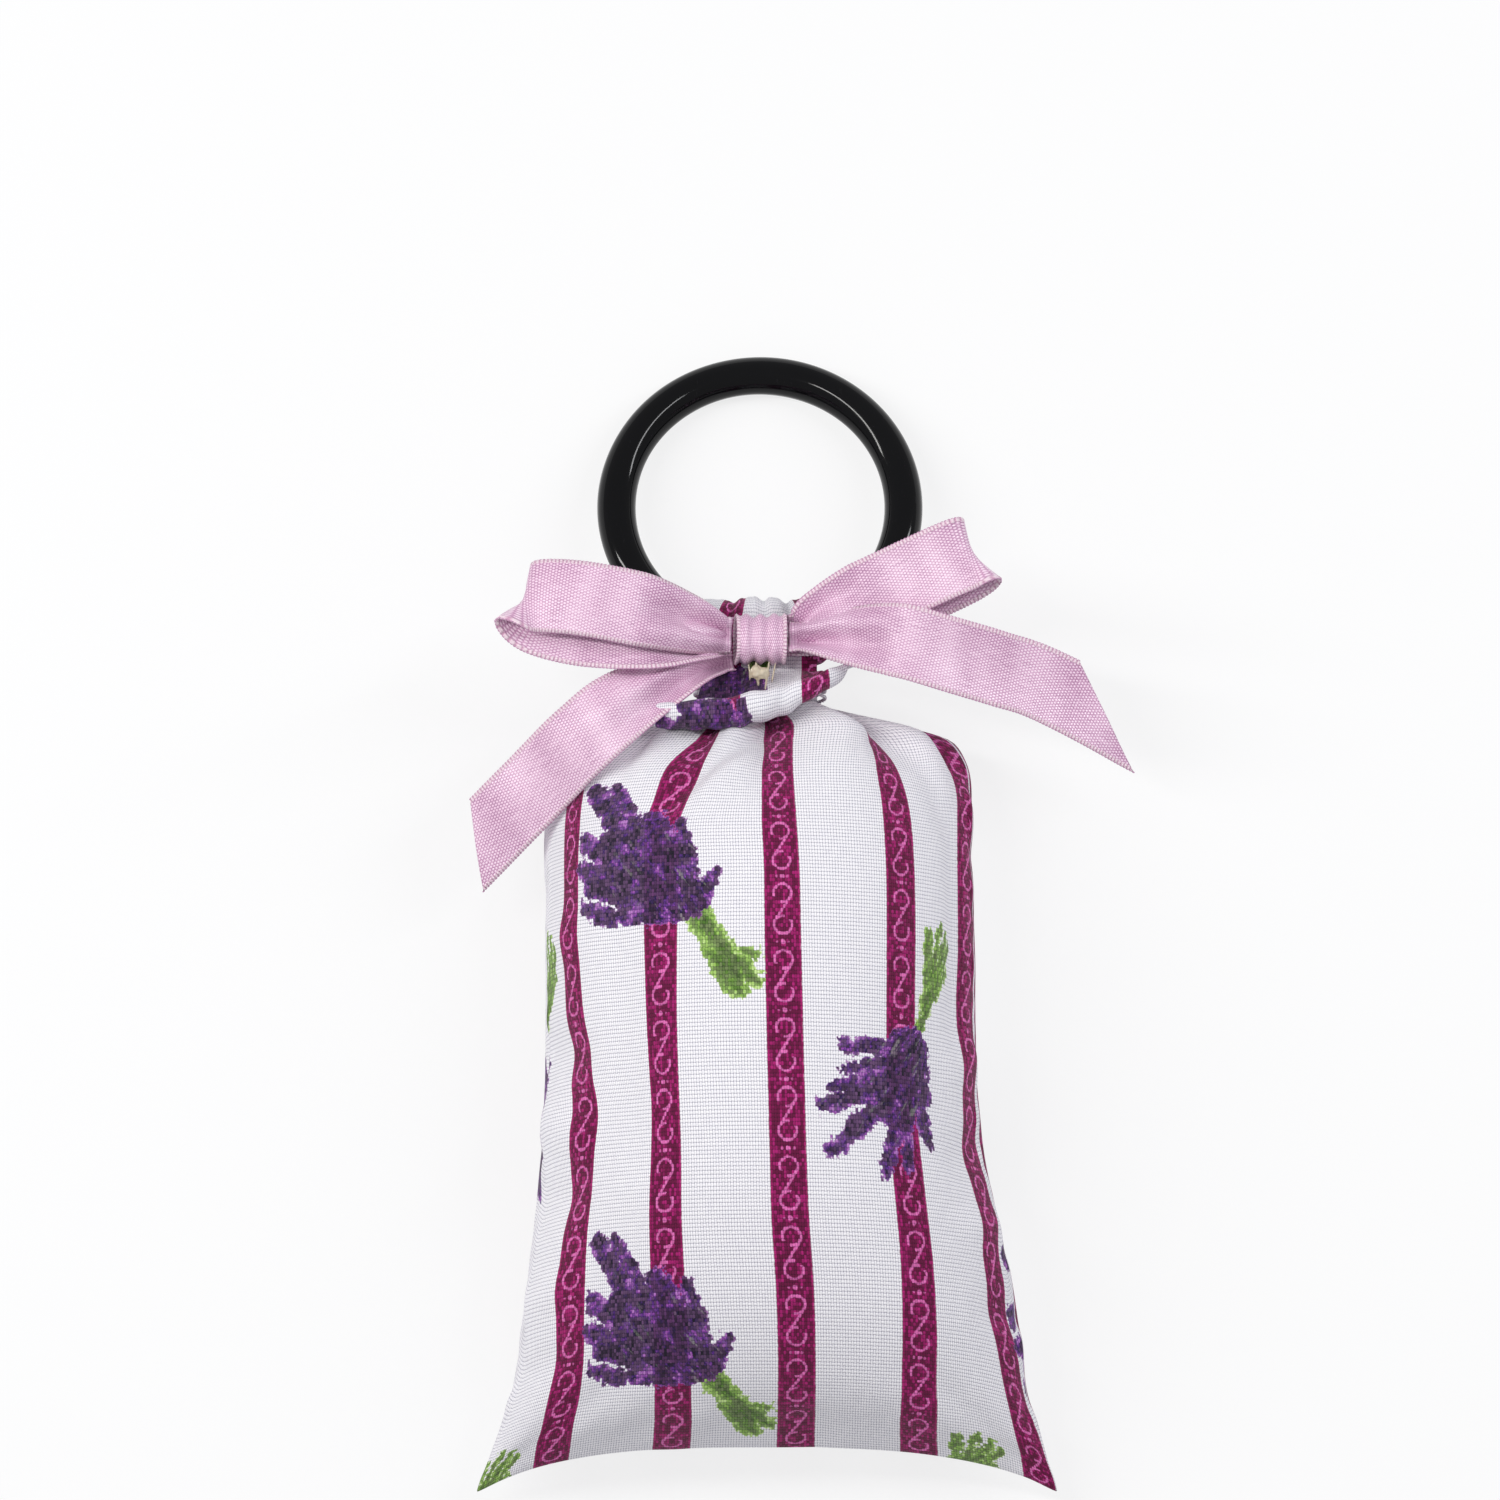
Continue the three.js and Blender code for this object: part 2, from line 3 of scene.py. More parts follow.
import bmesh
import bpy
import numpy as np
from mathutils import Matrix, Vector, noise


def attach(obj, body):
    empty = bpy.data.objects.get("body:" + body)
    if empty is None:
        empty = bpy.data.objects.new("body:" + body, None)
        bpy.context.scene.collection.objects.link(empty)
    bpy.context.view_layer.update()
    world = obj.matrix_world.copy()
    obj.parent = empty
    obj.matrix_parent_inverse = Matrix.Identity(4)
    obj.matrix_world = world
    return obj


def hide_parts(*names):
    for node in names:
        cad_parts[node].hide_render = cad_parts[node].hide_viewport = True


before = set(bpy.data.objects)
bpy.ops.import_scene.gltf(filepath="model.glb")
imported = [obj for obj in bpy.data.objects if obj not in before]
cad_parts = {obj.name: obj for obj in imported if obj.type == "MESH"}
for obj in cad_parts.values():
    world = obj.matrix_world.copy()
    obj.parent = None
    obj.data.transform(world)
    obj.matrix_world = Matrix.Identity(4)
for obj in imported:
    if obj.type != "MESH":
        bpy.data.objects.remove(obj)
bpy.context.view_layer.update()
mm = 0.001
uvScale = 100  # a fabric map holds places on the cloth in units of 100 mm
turnRound = 2 * math.pi
print("frame loaded")


def smooth(low, high, value):  # eased step from 0 to 1
    t = np.clip((value - low) / (high - low), 0, 1)
    return t * t * (3 - 2 * t)


def mix(a, b, share):
    return a + (b - a) * share


def follow(table, place):  # smooth curve through a table of places and values
    rows = np.array(table, float)
    ends = np.vstack([rows[:1], rows, rows[-1:]])
    slopes = (ends[2:, 1] - ends[:-2, 1]) / (ends[2:, 0] - ends[:-2, 0])
    i = np.clip(np.searchsorted(rows[:, 0], place, side="left") - 1, 0, len(rows) - 2)
    span, rise = rows[i + 1, 0] - rows[i, 0], rows[i + 1, 1] - rows[i, 1]
    t = np.clip((place - rows[i, 0]) / span, 0, 1)
    lead, trail = slopes[i] * span, slopes[i + 1] * span
    curve = t * lead + t * t * (3 * rise - 2 * lead - trail) + t ** 3 * (lead + trail - 2 * rise)
    return rows[i, 1] + curve


def arcPlaces(points):  # distance along a row of points
    steps = np.linalg.norm(np.diff(points, axis=0), axis=1)
    return np.concatenate([[0], np.cumsum(steps)])


def together(*parts):  # coordinates as one array of points
    return np.stack(np.broadcast_arrays(*parts), -1)


def ripple(points, scale, seed=0.0):  # smooth noise at many points, about -1 to 1
    spots = points.reshape(-1, 3) / scale + [seed, 0, -seed]
    return np.array([noise.noise(spot) for spot in spots]).reshape(points.shape[:-1])


def unit(vectors):
    return vectors / np.maximum(np.linalg.norm(vectors, axis=-1, keepdims=True), 1e-12)


# Sockets that add up: an expression on them adds its Math nodes
class Signal:
    def __init__(self, tree, node, out=0):
        self.tree, self.node, self.socket = tree, node, node.outputs[out] if len(node.outputs) else None

    def out(self, name):
        return Signal(self.tree, self.node, name)

    def calc(self, operation, *others):
        return self.tree.add("ShaderNodeMath", dict(enumerate((self, *others))), operation=operation)

    def vector(self, operation, other, out=0):
        second = "Scale" if operation == "SCALE" else 1
        return self.tree.add("ShaderNodeVectorMath", {0: self, second: other}, out, operation=operation)

    def __add__(self, other):
        return self.calc("ADD", other)

    def __sub__(self, other):
        return self.calc("SUBTRACT", other)

    def __mul__(self, other):
        return self.calc("MULTIPLY", other)

    def __truediv__(self, other):
        return self.calc("DIVIDE", other)

    def __rsub__(self, other):
        return (self * -1).calc("ADD", other)

    __radd__, __rmul__ = __add__, __mul__

    def ease(self, low, high):  # eased step, falling where low is above high
        sockets = {0: self, 1: low, 2: high, 3: 0, 4: 1}
        return self.tree.add("ShaderNodeMapRange", sockets, interpolation_type="SMOOTHSTEP")


class Tree:
    def __init__(self, nodeTree, family="ShaderNode"):
        self.nodes, self.links, self.family = nodeTree.nodes, nodeTree.links, family

    def add(self, kind, sockets=None, out=0, stops=(), **settings):
        node = self.nodes.new(kind if "Node" in kind else self.family + kind)
        for name, value in settings.items():
            setattr(node, name, value)
        for number, (place, colour) in enumerate(stops):
            ramp = node.color_ramp.elements
            element = ramp[number] if number < len(ramp) else ramp.new(1)
            element.position, element.color = place, rgb(*colour)
        for name, value in (sockets or {}).items():
            if isinstance(value, Signal):
                self.links.new(value.socket, node.inputs[name])
            else:
                node.inputs[name].default_value = value
        return Signal(self, node, out)

    def blend(self, share, a, b, how="MIX"):  # mixes two colours
        return self.add("ShaderNodeMix", {0: share, 6: a, 7: b}, 2, data_type="RGBA", blend_type=how)


def rgb(red, green, blue):  # screen colour, 0 to 255, as Blender's linear colour
    linear = [c / 255 / 12.92 if c <= 10.3 else ((c / 255 + 0.055) / 1.055) ** 2.4 for c in (red, green, blue)]
    return (*linear, 1)


def newMaterial(name, **constants):  # surface with its plain values on the shader's own sockets
    material = bpy.data.materials.new(name)
    material.use_nodes = True
    tree = Tree(material.node_tree)
    tree.material, tree.shader = material, tree.nodes["Principled BSDF"]
    for title, value in constants.items():
        tree.shader.inputs[title.replace("_", " ")].default_value = value
    return tree


def finishSurface(tree, colour, rough, height, strength, depth):  # what varies over a surface
    bump = tree.add("Bump", {"Strength": strength, "Distance": depth, "Height": height})
    for title, value in {"Base Color": colour, "Roughness": rough, "Normal": bump}.items():
        tree.links.new(value.socket, tree.shader.inputs[title])
    return tree.material


def fabricPlace(tree):  # place on the cloth in mm, across and along
    split = tree.add("SeparateXYZ", {0: tree.add("UVMap", uv_map="fabric")})
    return split * uvScale, split.out(1) * uvScale


def at(x, y, z=0):
    return x.tree.add("ShaderNodeCombineXYZ", {0: x, 1: y, 2: z})


def grain(place, scale, detail=2, roughness=0.5, out=0):
    values = {"Vector": place, "Scale": scale, "Detail": detail, "Roughness": roughness}
    return place.tree.add("TexNoise", values, out)


# Meshes
def newObject(name, mesh):
    piece = bpy.data.objects.new(name, mesh)
    bpy.context.scene.collection.objects.link(piece)
    return piece


def clothObject(name, points, faces, fabric, material):  # fabric: place on the cloth at each face's corners
    mesh = bpy.data.meshes.new(name)
    mesh.from_pydata((points * mm).tolist(), [], faces)
    layer = mesh.uv_layers.new(name="fabric")
    layer.data.foreach_set("uv", (fabric / uvScale).ravel())
    mesh.materials.append(material)
    mesh.shade_smooth()
    return newObject(name, mesh)


def quads(rows, columns):  # corners of every face of a grid
    for row in range(rows - 1):
        for column in range(columns - 1):
            yield (row, column), (row, column + 1), (row + 1, column + 1), (row + 1, column)


def sheetMesh(name, points, fabric, material, aroundAcross=False, aroundAlong=False):
    rows, columns = points.shape[:2]  # a closed direction repeats its first row or column
    tall, wide = rows - aroundAlong, columns - aroundAcross
    faces, corners = [], []
    for quad in quads(rows, columns):
        faces.append([(i % tall) * wide + j % wide for i, j in quad])
        corners.extend(i * columns + j for i, j in quad)
    points = points[:tall, :wide].reshape(-1, 3)
    return clothObject(name, points, faces, fabric.reshape(-1, 2)[corners], material)


def outwards(piece, limit=1e-6):  # merges doubles, then turns every face outwards
    work = bmesh.new()
    work.from_mesh(piece.data)
    bmesh.ops.remove_doubles(work, verts=work.verts, dist=limit)
    bmesh.ops.recalc_face_normals(work, faces=work.faces)
    work.to_mesh(piece.data)
    work.free()


def thicken(piece, thickness, offset=0):
    wall = piece.modifiers.new("thickness", "SOLIDIFY")
    wall.thickness, wall.offset, wall.use_even_offset = thickness * mm, offset, True


def settle(piece):  # applies every modifier
    graph = bpy.context.evaluated_depsgraph_get()
    mesh = bpy.data.meshes.new_from_object(piece.evaluated_get(graph))
    piece.modifiers.clear()
    old, piece.data = piece.data, mesh
    mesh.name = piece.name
    bpy.data.meshes.remove(old)
    return piece


def lineObject(name, points):  # open line for a geometry tree to follow
    mesh = bpy.data.meshes.new(name)
    edges = [(i, i + 1) for i in range(len(points) - 1)]
    mesh.from_pydata((np.asarray(points) * mm).tolist(), edges, [])
    return newObject(name, mesh)


# Geometry trees
def geometryTree(name, *titles):  # group with a mesh, some sizes and perhaps a seed as its inputs
    group = bpy.data.node_groups.new(name, "GeometryNodeTree")
    group.interface.new_socket(name="Geometry", in_out="INPUT", socket_type="NodeSocketGeometry")
    for title in titles:
        kind = "NodeSocketInt" if title == "Seed" else "NodeSocketFloat"
        group.interface.new_socket(name=title, in_out="INPUT", socket_type=kind)
    group.interface.new_socket(name="Geometry", in_out="OUTPUT", socket_type="NodeSocketGeometry")
    tree = Tree(group, "GeometryNode")
    return group, tree, tree.add("NodeGroupInput")


def joined(tree, parts):
    both = tree.add("JoinGeometry")
    for part in parts:
        tree.links.new(part.socket, both.node.inputs[0])
    return both


def closeTree(tree, geometry, material):
    real = tree.add("RealizeInstances", {"Geometry": geometry})
    rounded = tree.add("SetShadeSmooth", {"Geometry": real})
    tree.add("NodeGroupOutput", {0: tree.add("SetMaterial", {"Geometry": rounded, "Material": material})})


def runTree(source, group, values):  # turns a tree's result into a plain mesh
    maker = source.modifiers.new("maker", "NODES")
    maker.node_group = group
    for item in group.interface.items_tree:
        if item.in_out == "INPUT" and item.name in values:
            maker[item.identifier] = values[item.name]
    return settle(source)


# Camera, light and floor
view = {
    "aim": (-1.41, 51.15, 11), "elevation": 79.3, "distance": 2600, "frameWidth": 211.3,
    "world": 0.45, "floorGlow": 0.78, "floorReach": 3,
    "lamps": (  # name, place, width and height, power and colour
        ("keyLamp", (-0.44, 0.12, 0.56), (0.055, 0.64), 3.1, (1, 0.99, 0.97)),
        ("fillLamp", (0.44, 0.22, 0.50), (0.045, 0.56), 1.75, (0.97, 0.98, 1)),
    ),
    "lampAim": (0, 0.03, 0.02),
}


def makeCamera():
    tilt = math.radians(view["elevation"])
    back = Vector((0, -math.cos(tilt), math.sin(tilt)))
    data = bpy.data.cameras.new("camera")
    data.sensor_width = 36
    data.lens = 36 * view["distance"] / view["frameWidth"]
    data.clip_start, data.clip_end = 0.01, 20
    camera = newObject("camera", data)
    camera.location = (Vector(view["aim"]) + back * view["distance"]) * mm
    camera.rotation_euler = back.to_track_quat("Z", "Y").to_euler()
    bpy.context.scene.camera = camera


def addLamp(name, place, size, power, colour):
    data = bpy.data.lights.new(name, "AREA")
    data.shape, data.size, data.size_y = "RECTANGLE", size[0], size[1]
    data.energy, data.color = power, colour
    lamp = newObject(name, data)
    lamp.location = place
    lamp.rotation_euler = (lamp.location - Vector(view["lampAim"])).to_track_quat("Z", "Y").to_euler()


def makeStage():
    scene = bpy.context.scene
    scene.view_settings.view_transform = "Standard"
    scene.world = scene.world or bpy.data.worlds.new("studio")
    scene.world.use_nodes = True
    tree = Tree(scene.world.node_tree)
    tree.nodes.clear()
    sky = tree.add("Background", {"Color": (0.97, 0.98, 1, 1), "Strength": view["world"]})
    tree.add("OutputWorld", {"Surface": sky})
    for lamp in view["lamps"]:
        addLamp(*lamp)

    tree = newMaterial("pale_floor", Base_Color=rgb(236, 236, 238), Roughness=0.9)
    seen = tree.add("LightPath")
    plain = seen.out("Is Camera Ray").calc("MAXIMUM", seen.out("Is Glossy Ray"))
    plain = plain.calc("MAXIMUM", seen.out("Is Transmission Ray"))
    glow = tree.add("Emission", {"Color": (1, 1, 1, 1), "Strength": 1})
    both = tree.add("MixShader", {0: plain * view["floorGlow"], 2: glow})
    tree.links.new(tree.shader.outputs[0], both.node.inputs[1])
    tree.links.new(both.socket, tree.nodes["Material Output"].inputs["Surface"])
    far = view["floorReach"]
    mesh = bpy.data.meshes.new("floor")
    mesh.from_pydata([(-far, -far, 0), (far, -far, 0), (far, far, 0), (-far, far, 0)], [], [(0, 1, 2, 3)])
    mesh.materials.append(tree.material)
    floor = newObject("floor", mesh)
    return floor


makeCamera()
floor = makeStage()
print("camera, lamps and floor made")


# Cotton print: stripes with scrolls, and scattered lavender bunches, all sizes in mm
cotton = {
    "white": (246, 244, 248), "whiteShade": (234, 232, 240),
    "stripePitch": 17, "stripeWidth": 5.2, "stripePlace": 4.4, "scrollPitch": 9.5,
    "stripeDark": (100, 4, 58), "stripeLight": (172, 26, 112), "scroll": (232, 116, 188),
    # the lilac grey gap colour on the next line is painted shade for the hollows between threads
    "stripeRim": (184, 26, 112), "warp": 0.37, "weft": 0.55, "gapPaintedShade": (122, 119, 144), "snap": 0.35,
    "bunchPitch": 34, "bunchPlace": (4.5, 19.2), "bunchRepeats": (73, 65), "bunchStarts": (62.8, 80.2),
    "bunchScale": 1.2, "fullShift": 3.4, "bunchLean": 0.677, "taper": 0.3, "raggedness": 2.4,
    "stemFringe": (196, 226, 132), "headFringe": (158, 92, 170), "headGreen": (132, 140, 122),
    "fullHead": (
        (-1.1, 8, -1, 22.4, 1.7), (0.6, 8, 1.2, 20.8, 1.3), (1.5, 5, 3, 13.4, 2),
        (2.2, 4.5, 5.6, 10.8, 1.25), (0.4, 2.2, 1.2, 11.5, 2.3), (-0.8, 3, -3.2, 14.6, 2.7),
        (-1.8, 6, -5.8, 17.6, 1.8), (-3.4, 6.4, -8.2, 15.2, 1.7), (-2.6, 3.8, -8.2, 12, 1.9),
        (-1.5, 2.2, -7, 6.4, 2), (-9, 7.6, -11, 11.4, 1.15), (1, 1.2, 4.4, 2.8, 1.1),
    ),
    "spreadHead": (
        (-1, 1.8, -6.6, 6.4, 1.15), (-1, 4.2, -4.9, 8.3, 0.95), (-0.4, 5.4, -4.6, 10.8, 1.1),
        (-0.4, 7.4, -4.4, 13.6, 1.15), (1, 7, -0.4, 16.8, 1.4), (2.8, 7, 5.7, 14.8, 1.2),
        (3.6, 6, 7.2, 11.8, 1.1), (3.2, 3.6, 8.3, 7.4, 1.4), (1.8, 1.6, 5.6, 3.2, 1.4),
        (0.4, 1.8, 2.4, 7.6, 3.7),
    ),
    "fullStem": (
        (0, 1, -0.9, -6.2, 1.7), (-0.8, -5, -2.3, -9.3, 1.9), (-0.7, -5, -0.2, -9.6, 1.6),
        (-0.2, -5.2, 1.8, -7.6, 0.9),
    ),
    "spreadStem": (
        (0, 0.5, -1.2, -5.2, 0.95), (-1.1, -4.4, -6.4, -12.2, 0.75), (-1.1, -4.4, -5, -14, 0.75),
        (-1.1, -4.4, -3.5, -15, 0.8), (-1, -4.4, -1.9, -14.2, 0.8), (-1, -4.6, -0.5, -11.4, 0.65),
    ),
    "flowerStops": (
        (0, (16, 10, 30)), (0.3, (38, 20, 70)), (0.55, (86, 40, 130)), (0.8, (144, 68, 162)),
        (1, (182, 122, 196)),
    ),
    "stemStops": ((0, (34, 54, 24)), (0.35, (84, 124, 44)), (0.68, (146, 188, 84)), (1, (200, 228, 148))),
}


def scrollLine(x, y):  # share of ink of a scroll and its dots, in a cell around 0
    side = y.calc("SIGN")
    x, y = x * side, y.calc("ABSOLUTE")
    up = y - 2.3
    ring = ((x * x + up * up).calc("SQRT") - 1.28).calc("ABSOLUTE")
    gone = (x * -1).ease(0.2, 0.4) * up.ease(-0.62, -0.8)
    stroke = (x * 0.831 - y * 0.5565).calc("ABSOLUTE") + y.ease(1.6, 1.9) * 2
    beyond = y - cotton["scrollPitch"] / 2
    dot = (x * x + beyond * beyond).calc("SQRT").ease(0.42, 0.26)
    aside = x.calc("ABSOLUTE") - 0.8
    dot = dot.calc("MAXIMUM", (aside * aside + beyond * beyond).calc("SQRT").ease(0.24, 0.12) * 0.7)
    ink = (ring + gone).ease(0.27, 0.1).calc("MAXIMUM", stroke.ease(0.26, 0.1))
    return ink.calc("MAXIMUM", dot)


def spray(place, bars):  # least distance past tapered bars, each a start, an end and a radius
    nearest = None
    for x0, y0, x1, y1, radius in bars:
        reach = Vector((x1 - x0, y1 - y0, 0))
        off = place.vector("SUBTRACT", (x0, y0, 0))
        share = off.vector("DOT_PRODUCT", reach / reach.length_squared, "Value")
        share = share.calc("MINIMUM", 1).calc("MAXIMUM", 0)
        back = place.tree.add("VectorMath", {0: reach, "Scale": share}, operation="SCALE")
        far = off.vector("DISTANCE", back, "Value") + share * (radius * cotton["taper"]) - radius
        nearest = nearest.calc("MINIMUM", far) if nearest else far
    return nearest


def bunch(across, along, fleck):  # shares and colours of blossom and stems
    tree = across.tree
    columns = (across - cotton["bunchPlace"][0]) / cotton["bunchPitch"]
    column = columns.calc("FLOOR")
    odd = (column * 0.5).calc("FRACT") * 2  # 1 in the columns of full bunches, 0 in those of spread ones
    pitch = odd * (cotton["bunchRepeats"][1] - cotton["bunchRepeats"][0]) + cotton["bunchRepeats"][0]
    start = odd * (cotton["bunchStarts"][1] - cotton["bunchStarts"][0]) + cotton["bunchStarts"][0]
    rows = (along - start) / pitch + 0.5
    x = (columns - column) * cotton["bunchPitch"] - cotton["bunchPlace"][1] - odd * cotton["fullShift"]
    y = (rows.calc("FRACT") - 0.5) * pitch * (odd * 2 - 1)
    cos, sin = (f(cotton["bunchLean"]) / cotton["bunchScale"] for f in (math.cos, math.sin))
    aside, ahead = x * cos + y * sin, y * cos - x * sin
    place = at(aside, ahead, odd * 5.3)
    rough = grain(place, 0.5, 3, 0.6) - 0.5
    waver = grain(place, 0.55, 3, 0.6, out=1)
    fine = grain(place, 1.8, 2, 0.65) - 0.5
    shift = waver.vector("SUBTRACT", (0.5, 0.5, 0.5)).vector("SCALE", cotton["raggedness"])
    level = at(aside, ahead).vector("ADD", shift).vector("MULTIPLY", (1, 1, 0))
    full, spread = level.vector("ADD", at((1 - odd) * 500, 0)), level.vector("ADD", at(odd * 500, 0))
    florets = spray(full, cotton["fullHead"]).calc("MINIMUM", spray(spread, cotton["spreadHead"]))
    green = spray(full, cotton["fullStem"]).calc("MINIMUM", spray(spread, cotton["spreadStem"]))

    edge = florets + fine * 0.9 + (fleck - 0.5) * 0.3
    head = edge.ease(0.16, -0.16)
    turn = aside.calc("ARCTAN2", ahead + 4)  # spikes of blossom fan out from the tie
    far = (aside * aside + ahead * ahead).calc("SQRT")
    streaks = grain(at(turn * 7, far * 0.42, odd * 3), 1, 3, 0.65)
    tone = edge.ease(-1, 0.1) * 0.5 + (streaks - 0.5) * 4.8 + (fleck - 0.5) * 0.5
    tone = tone + rough * 0.9 + fine * 1.2 + 0.02
    flower = tree.add("ValToRGB", {0: tone}, stops=cotton["flowerStops"])
    leaves = grain(at(aside * 1.4, ahead * 0.26, odd + 9), 1, 2, 0.6).ease(0.6, 0.7)
    flower = tree.blend(leaves * (ahead.ease(16, 3) * 0.6 + 0.15), flower, rgb(*cotton["headGreen"]))

    stalk = green + fine * 0.9 + (fleck - 0.5) * 0.3
    stem = stalk.ease(0.16, -0.16) * (ahead + fine * 4).ease(3.4, 0.8)
    blades = grain(at(aside * 1.2, ahead * 0.4, odd), 1, 3, 0.7)
    tone = stalk.ease(-1, 0.05) * 0.6 + (blades - 0.5) * 1.8 + (fleck - 0.5) * 0.5 - 0.02 + odd * 0.14
    return head, flower, stem, tree.add("ValToRGB", {0: tone}, stops=cotton["stemStops"])


def makeCotton():
    tree = newMaterial("printed_cotton", Sheen_Weight=0.12, Sheen_Roughness=0.5, Specular_IOR_Level=0.25)
    across, along = fabricPlace(tree)
    threadsAcross, threadsAlong = across / cotton["warp"], along / cotton["weft"]
    cell = at(threadsAcross.calc("FLOOR"), threadsAlong.calc("FLOOR"))
    fleck = tree.add("TexWhiteNoise", {"Vector": cell}, noise_dimensions="2D")
    across = across - (threadsAcross.calc("FRACT") - 0.5) * cotton["warp"] * cotton["snap"]  # ink takes threads
    along = along - (threadsAlong.calc("FRACT") - 0.5) * cotton["weft"] * cotton["snap"]
    place = at(across, along)
    waver = (grain(place, 1.4, 2) - 0.5) * 0.3

    steps = (across + waver - cotton["stripePlace"]) / cotton["stripePitch"] + 0.5
    fromStripe = (steps.calc("FRACT") - 0.5) * cotton["stripePitch"]
    half = cotton["stripeWidth"] / 2
    stripe = fromStripe.calc("ABSOLUTE").ease(half + 0.14, half - 0.14)
    rim = fromStripe.calc("ABSOLUTE").ease(half - 0.55, half - 0.1)
    turn = ((along / cotton["scrollPitch"]).calc("FRACT") - 0.5) * cotton["scrollPitch"]
    scroll = scrollLine(fromStripe + waver * 0.5, turn + waver * 0.5)
    patches = grain(place, 0.9, 3, 0.6)
    speckle = (fleck * 1.1 + patches - 0.86).ease(0, 0.85)
    magenta = tree.blend(speckle, rgb(*cotton["stripeDark"]), rgb(*cotton["stripeLight"]))
    magenta = tree.blend(rim * 0.4, magenta, rgb(*cotton["stripeRim"]))
    magenta = tree.blend(scroll * (fleck * 0.3 + 0.7), magenta, rgb(*cotton["scroll"]))

    head, flower, stem, leaf = bunch(across, along, fleck)
    clean = tree.blend(patches.ease(0.3, 0.8) * 0.5, rgb(*cotton["white"]), rgb(*cotton["whiteShade"]))
    colour = tree.blend(stripe, clean, magenta)
    colour = tree.blend(stem.ease(0, 0.5) * 0.9, colour, rgb(*cotton["stemFringe"]))
    colour = tree.blend(stem.ease(0.3, 1) * (fleck * 0.3 + 0.7), colour, leaf)
    colour = tree.blend(head.ease(0, 0.5) * 0.9, colour, rgb(*cotton["headFringe"]))
    colour = tree.blend(head.ease(0.3, 1) * (fleck * 0.34 + 0.66), colour, flower)

    overAcross = (threadsAcross * math.pi).calc("SINE").calc("ABSOLUTE")
    overAlong = (threadsAlong * math.pi).calc("SINE").calc("ABSOLUTE")
    number = threadsAcross.calc("FLOOR") + threadsAlong.calc("FLOOR")
    upper = (number * 0.5).calc("FRACT") * 2
    weave = overAcross * (overAlong * 0.45 + 0.55) * upper
    weave = weave + overAlong * (overAcross * 0.45 + 0.55) * (1 - upper)
    gap = weave.ease(0.5, 0.12)
    # the gaps between threads are darkened by multiplying: painted shade in the weave's hollows
    colour = tree.blend(gap * 0.75, colour, rgb(*cotton["gapPaintedShade"]), "MULTIPLY")
    slub = grain(at(across * 0.4, along * 3.5), 1, 2)
    height = weave * 0.8 + slub * 0.35 + fleck * 0.12
    return finishSurface(tree, colour, gap * 0.12 + 0.8, height, 0.7, 0.00012)


# Satin ribbon
satin = {
    # the first three colours are the satin's pink in light, in shade and in deep shade: painted light and shade
    "light": (252, 226, 243), "shade": (214, 165, 199), "deepShade": (170, 116, 156), "float": 0.43,
    # the two edge colours are a painted highlight on the crest of each edge loop and painted shade between the
    # loops
    "edge": 4.7, "edgePitch": 0.52, "edgeLoopShade": (206, 150, 182), "edgeLoopHighlight": (250, 228, 238),
}


def makeSatin():
    tree = newMaterial(
        "satin_ribbon", Specular_IOR_Level=0.85, Sheen_Weight=0.12, Sheen_Roughness=0.35, Anisotropic=0.5,
    )
    across, along = fabricPlace(tree)
    rows = along / satin["float"]
    columns = across / satin["float"] + (rows.calc("FLOOR") * 0.5).calc("FRACT")
    x, y = columns.calc("FRACT") - 0.5, rows.calc("FRACT") - 0.5
    dot = (x * x + y * y * 0.7).calc("SQRT").ease(0.46, 0.2)
    # broad cloud bands of painted light and shade, as if light fell on folds of the ribbon
    cloud = grain(at(across * 0.4 + along * 0.5, along), 0.13, 1)
    thread = grain(at(across * 6, along * 0.35), 1, 3, 0.6)
    # the ramp runs from painted deep shade to painted light; the dotted weave and the threads vary it as
    # texture, the cloud bands as painted light and shade
    tone = dot * 0.6 + (thread - 0.5) * 0.9 + (cloud - 0.5) * 0.9 + 0.17
    stops = ((0, satin["deepShade"]), (0.35, satin["shade"]), (0.85, satin["light"]))
    colour = tree.add("ValToRGB", {0: tone}, stops=stops)
    edge = across.calc("ABSOLUTE").ease(satin["edge"] - 0.08, satin["edge"] + 0.08)
    # along the edge each loop is painted lighter at its crest and darker between loops: painted highlight and
    # shade following the loops' bumps
    loops = ((along / satin["edgePitch"]).calc("FRACT") - 0.5).calc("ABSOLUTE").ease(0.5, 0.15)
    rim = tree.blend(loops, rgb(*satin["edgeLoopShade"]), rgb(*satin["edgeLoopHighlight"]))
    colour = tree.blend(edge * 0.8, colour, rim)
    height = dot * 0.7 + thread * 0.5 + edge * (loops * 1.6 + 0.5)
    return finishSurface(tree, colour, 0.38 - dot * 0.12 + edge * 0.2, height, 0.6, 0.00012)


def makePlastic():
    tree = newMaterial("black_plastic", Specular_IOR_Level=0.2)
    place = tree.add("TexCoord", out="Object")
    cloud, scuffs = grain(place, 55, 3), grain(place, 900, 2, 0.7)
    stretched = tree.add("Mapping", {"Vector": place, "Scale": (2200, 160, 2200)})
    scratch = grain(stretched, 1, 2, 0.6).ease(0.66, 0.78)
    colour = tree.blend(cloud, rgb(5, 5, 7), rgb(12, 12, 14))
    colour = tree.blend(scratch * 0.12, colour, rgb(56, 56, 60))
    rough = cloud * 0.04 + 0.07 + scratch * 0.12 + scuffs.ease(0.6, 0.75) * 0.04
    return finishSurface(tree, colour, rough, cloud * 0.8 + scuffs * 0.1 - scratch * 0.2, 0.08, 0.0001)


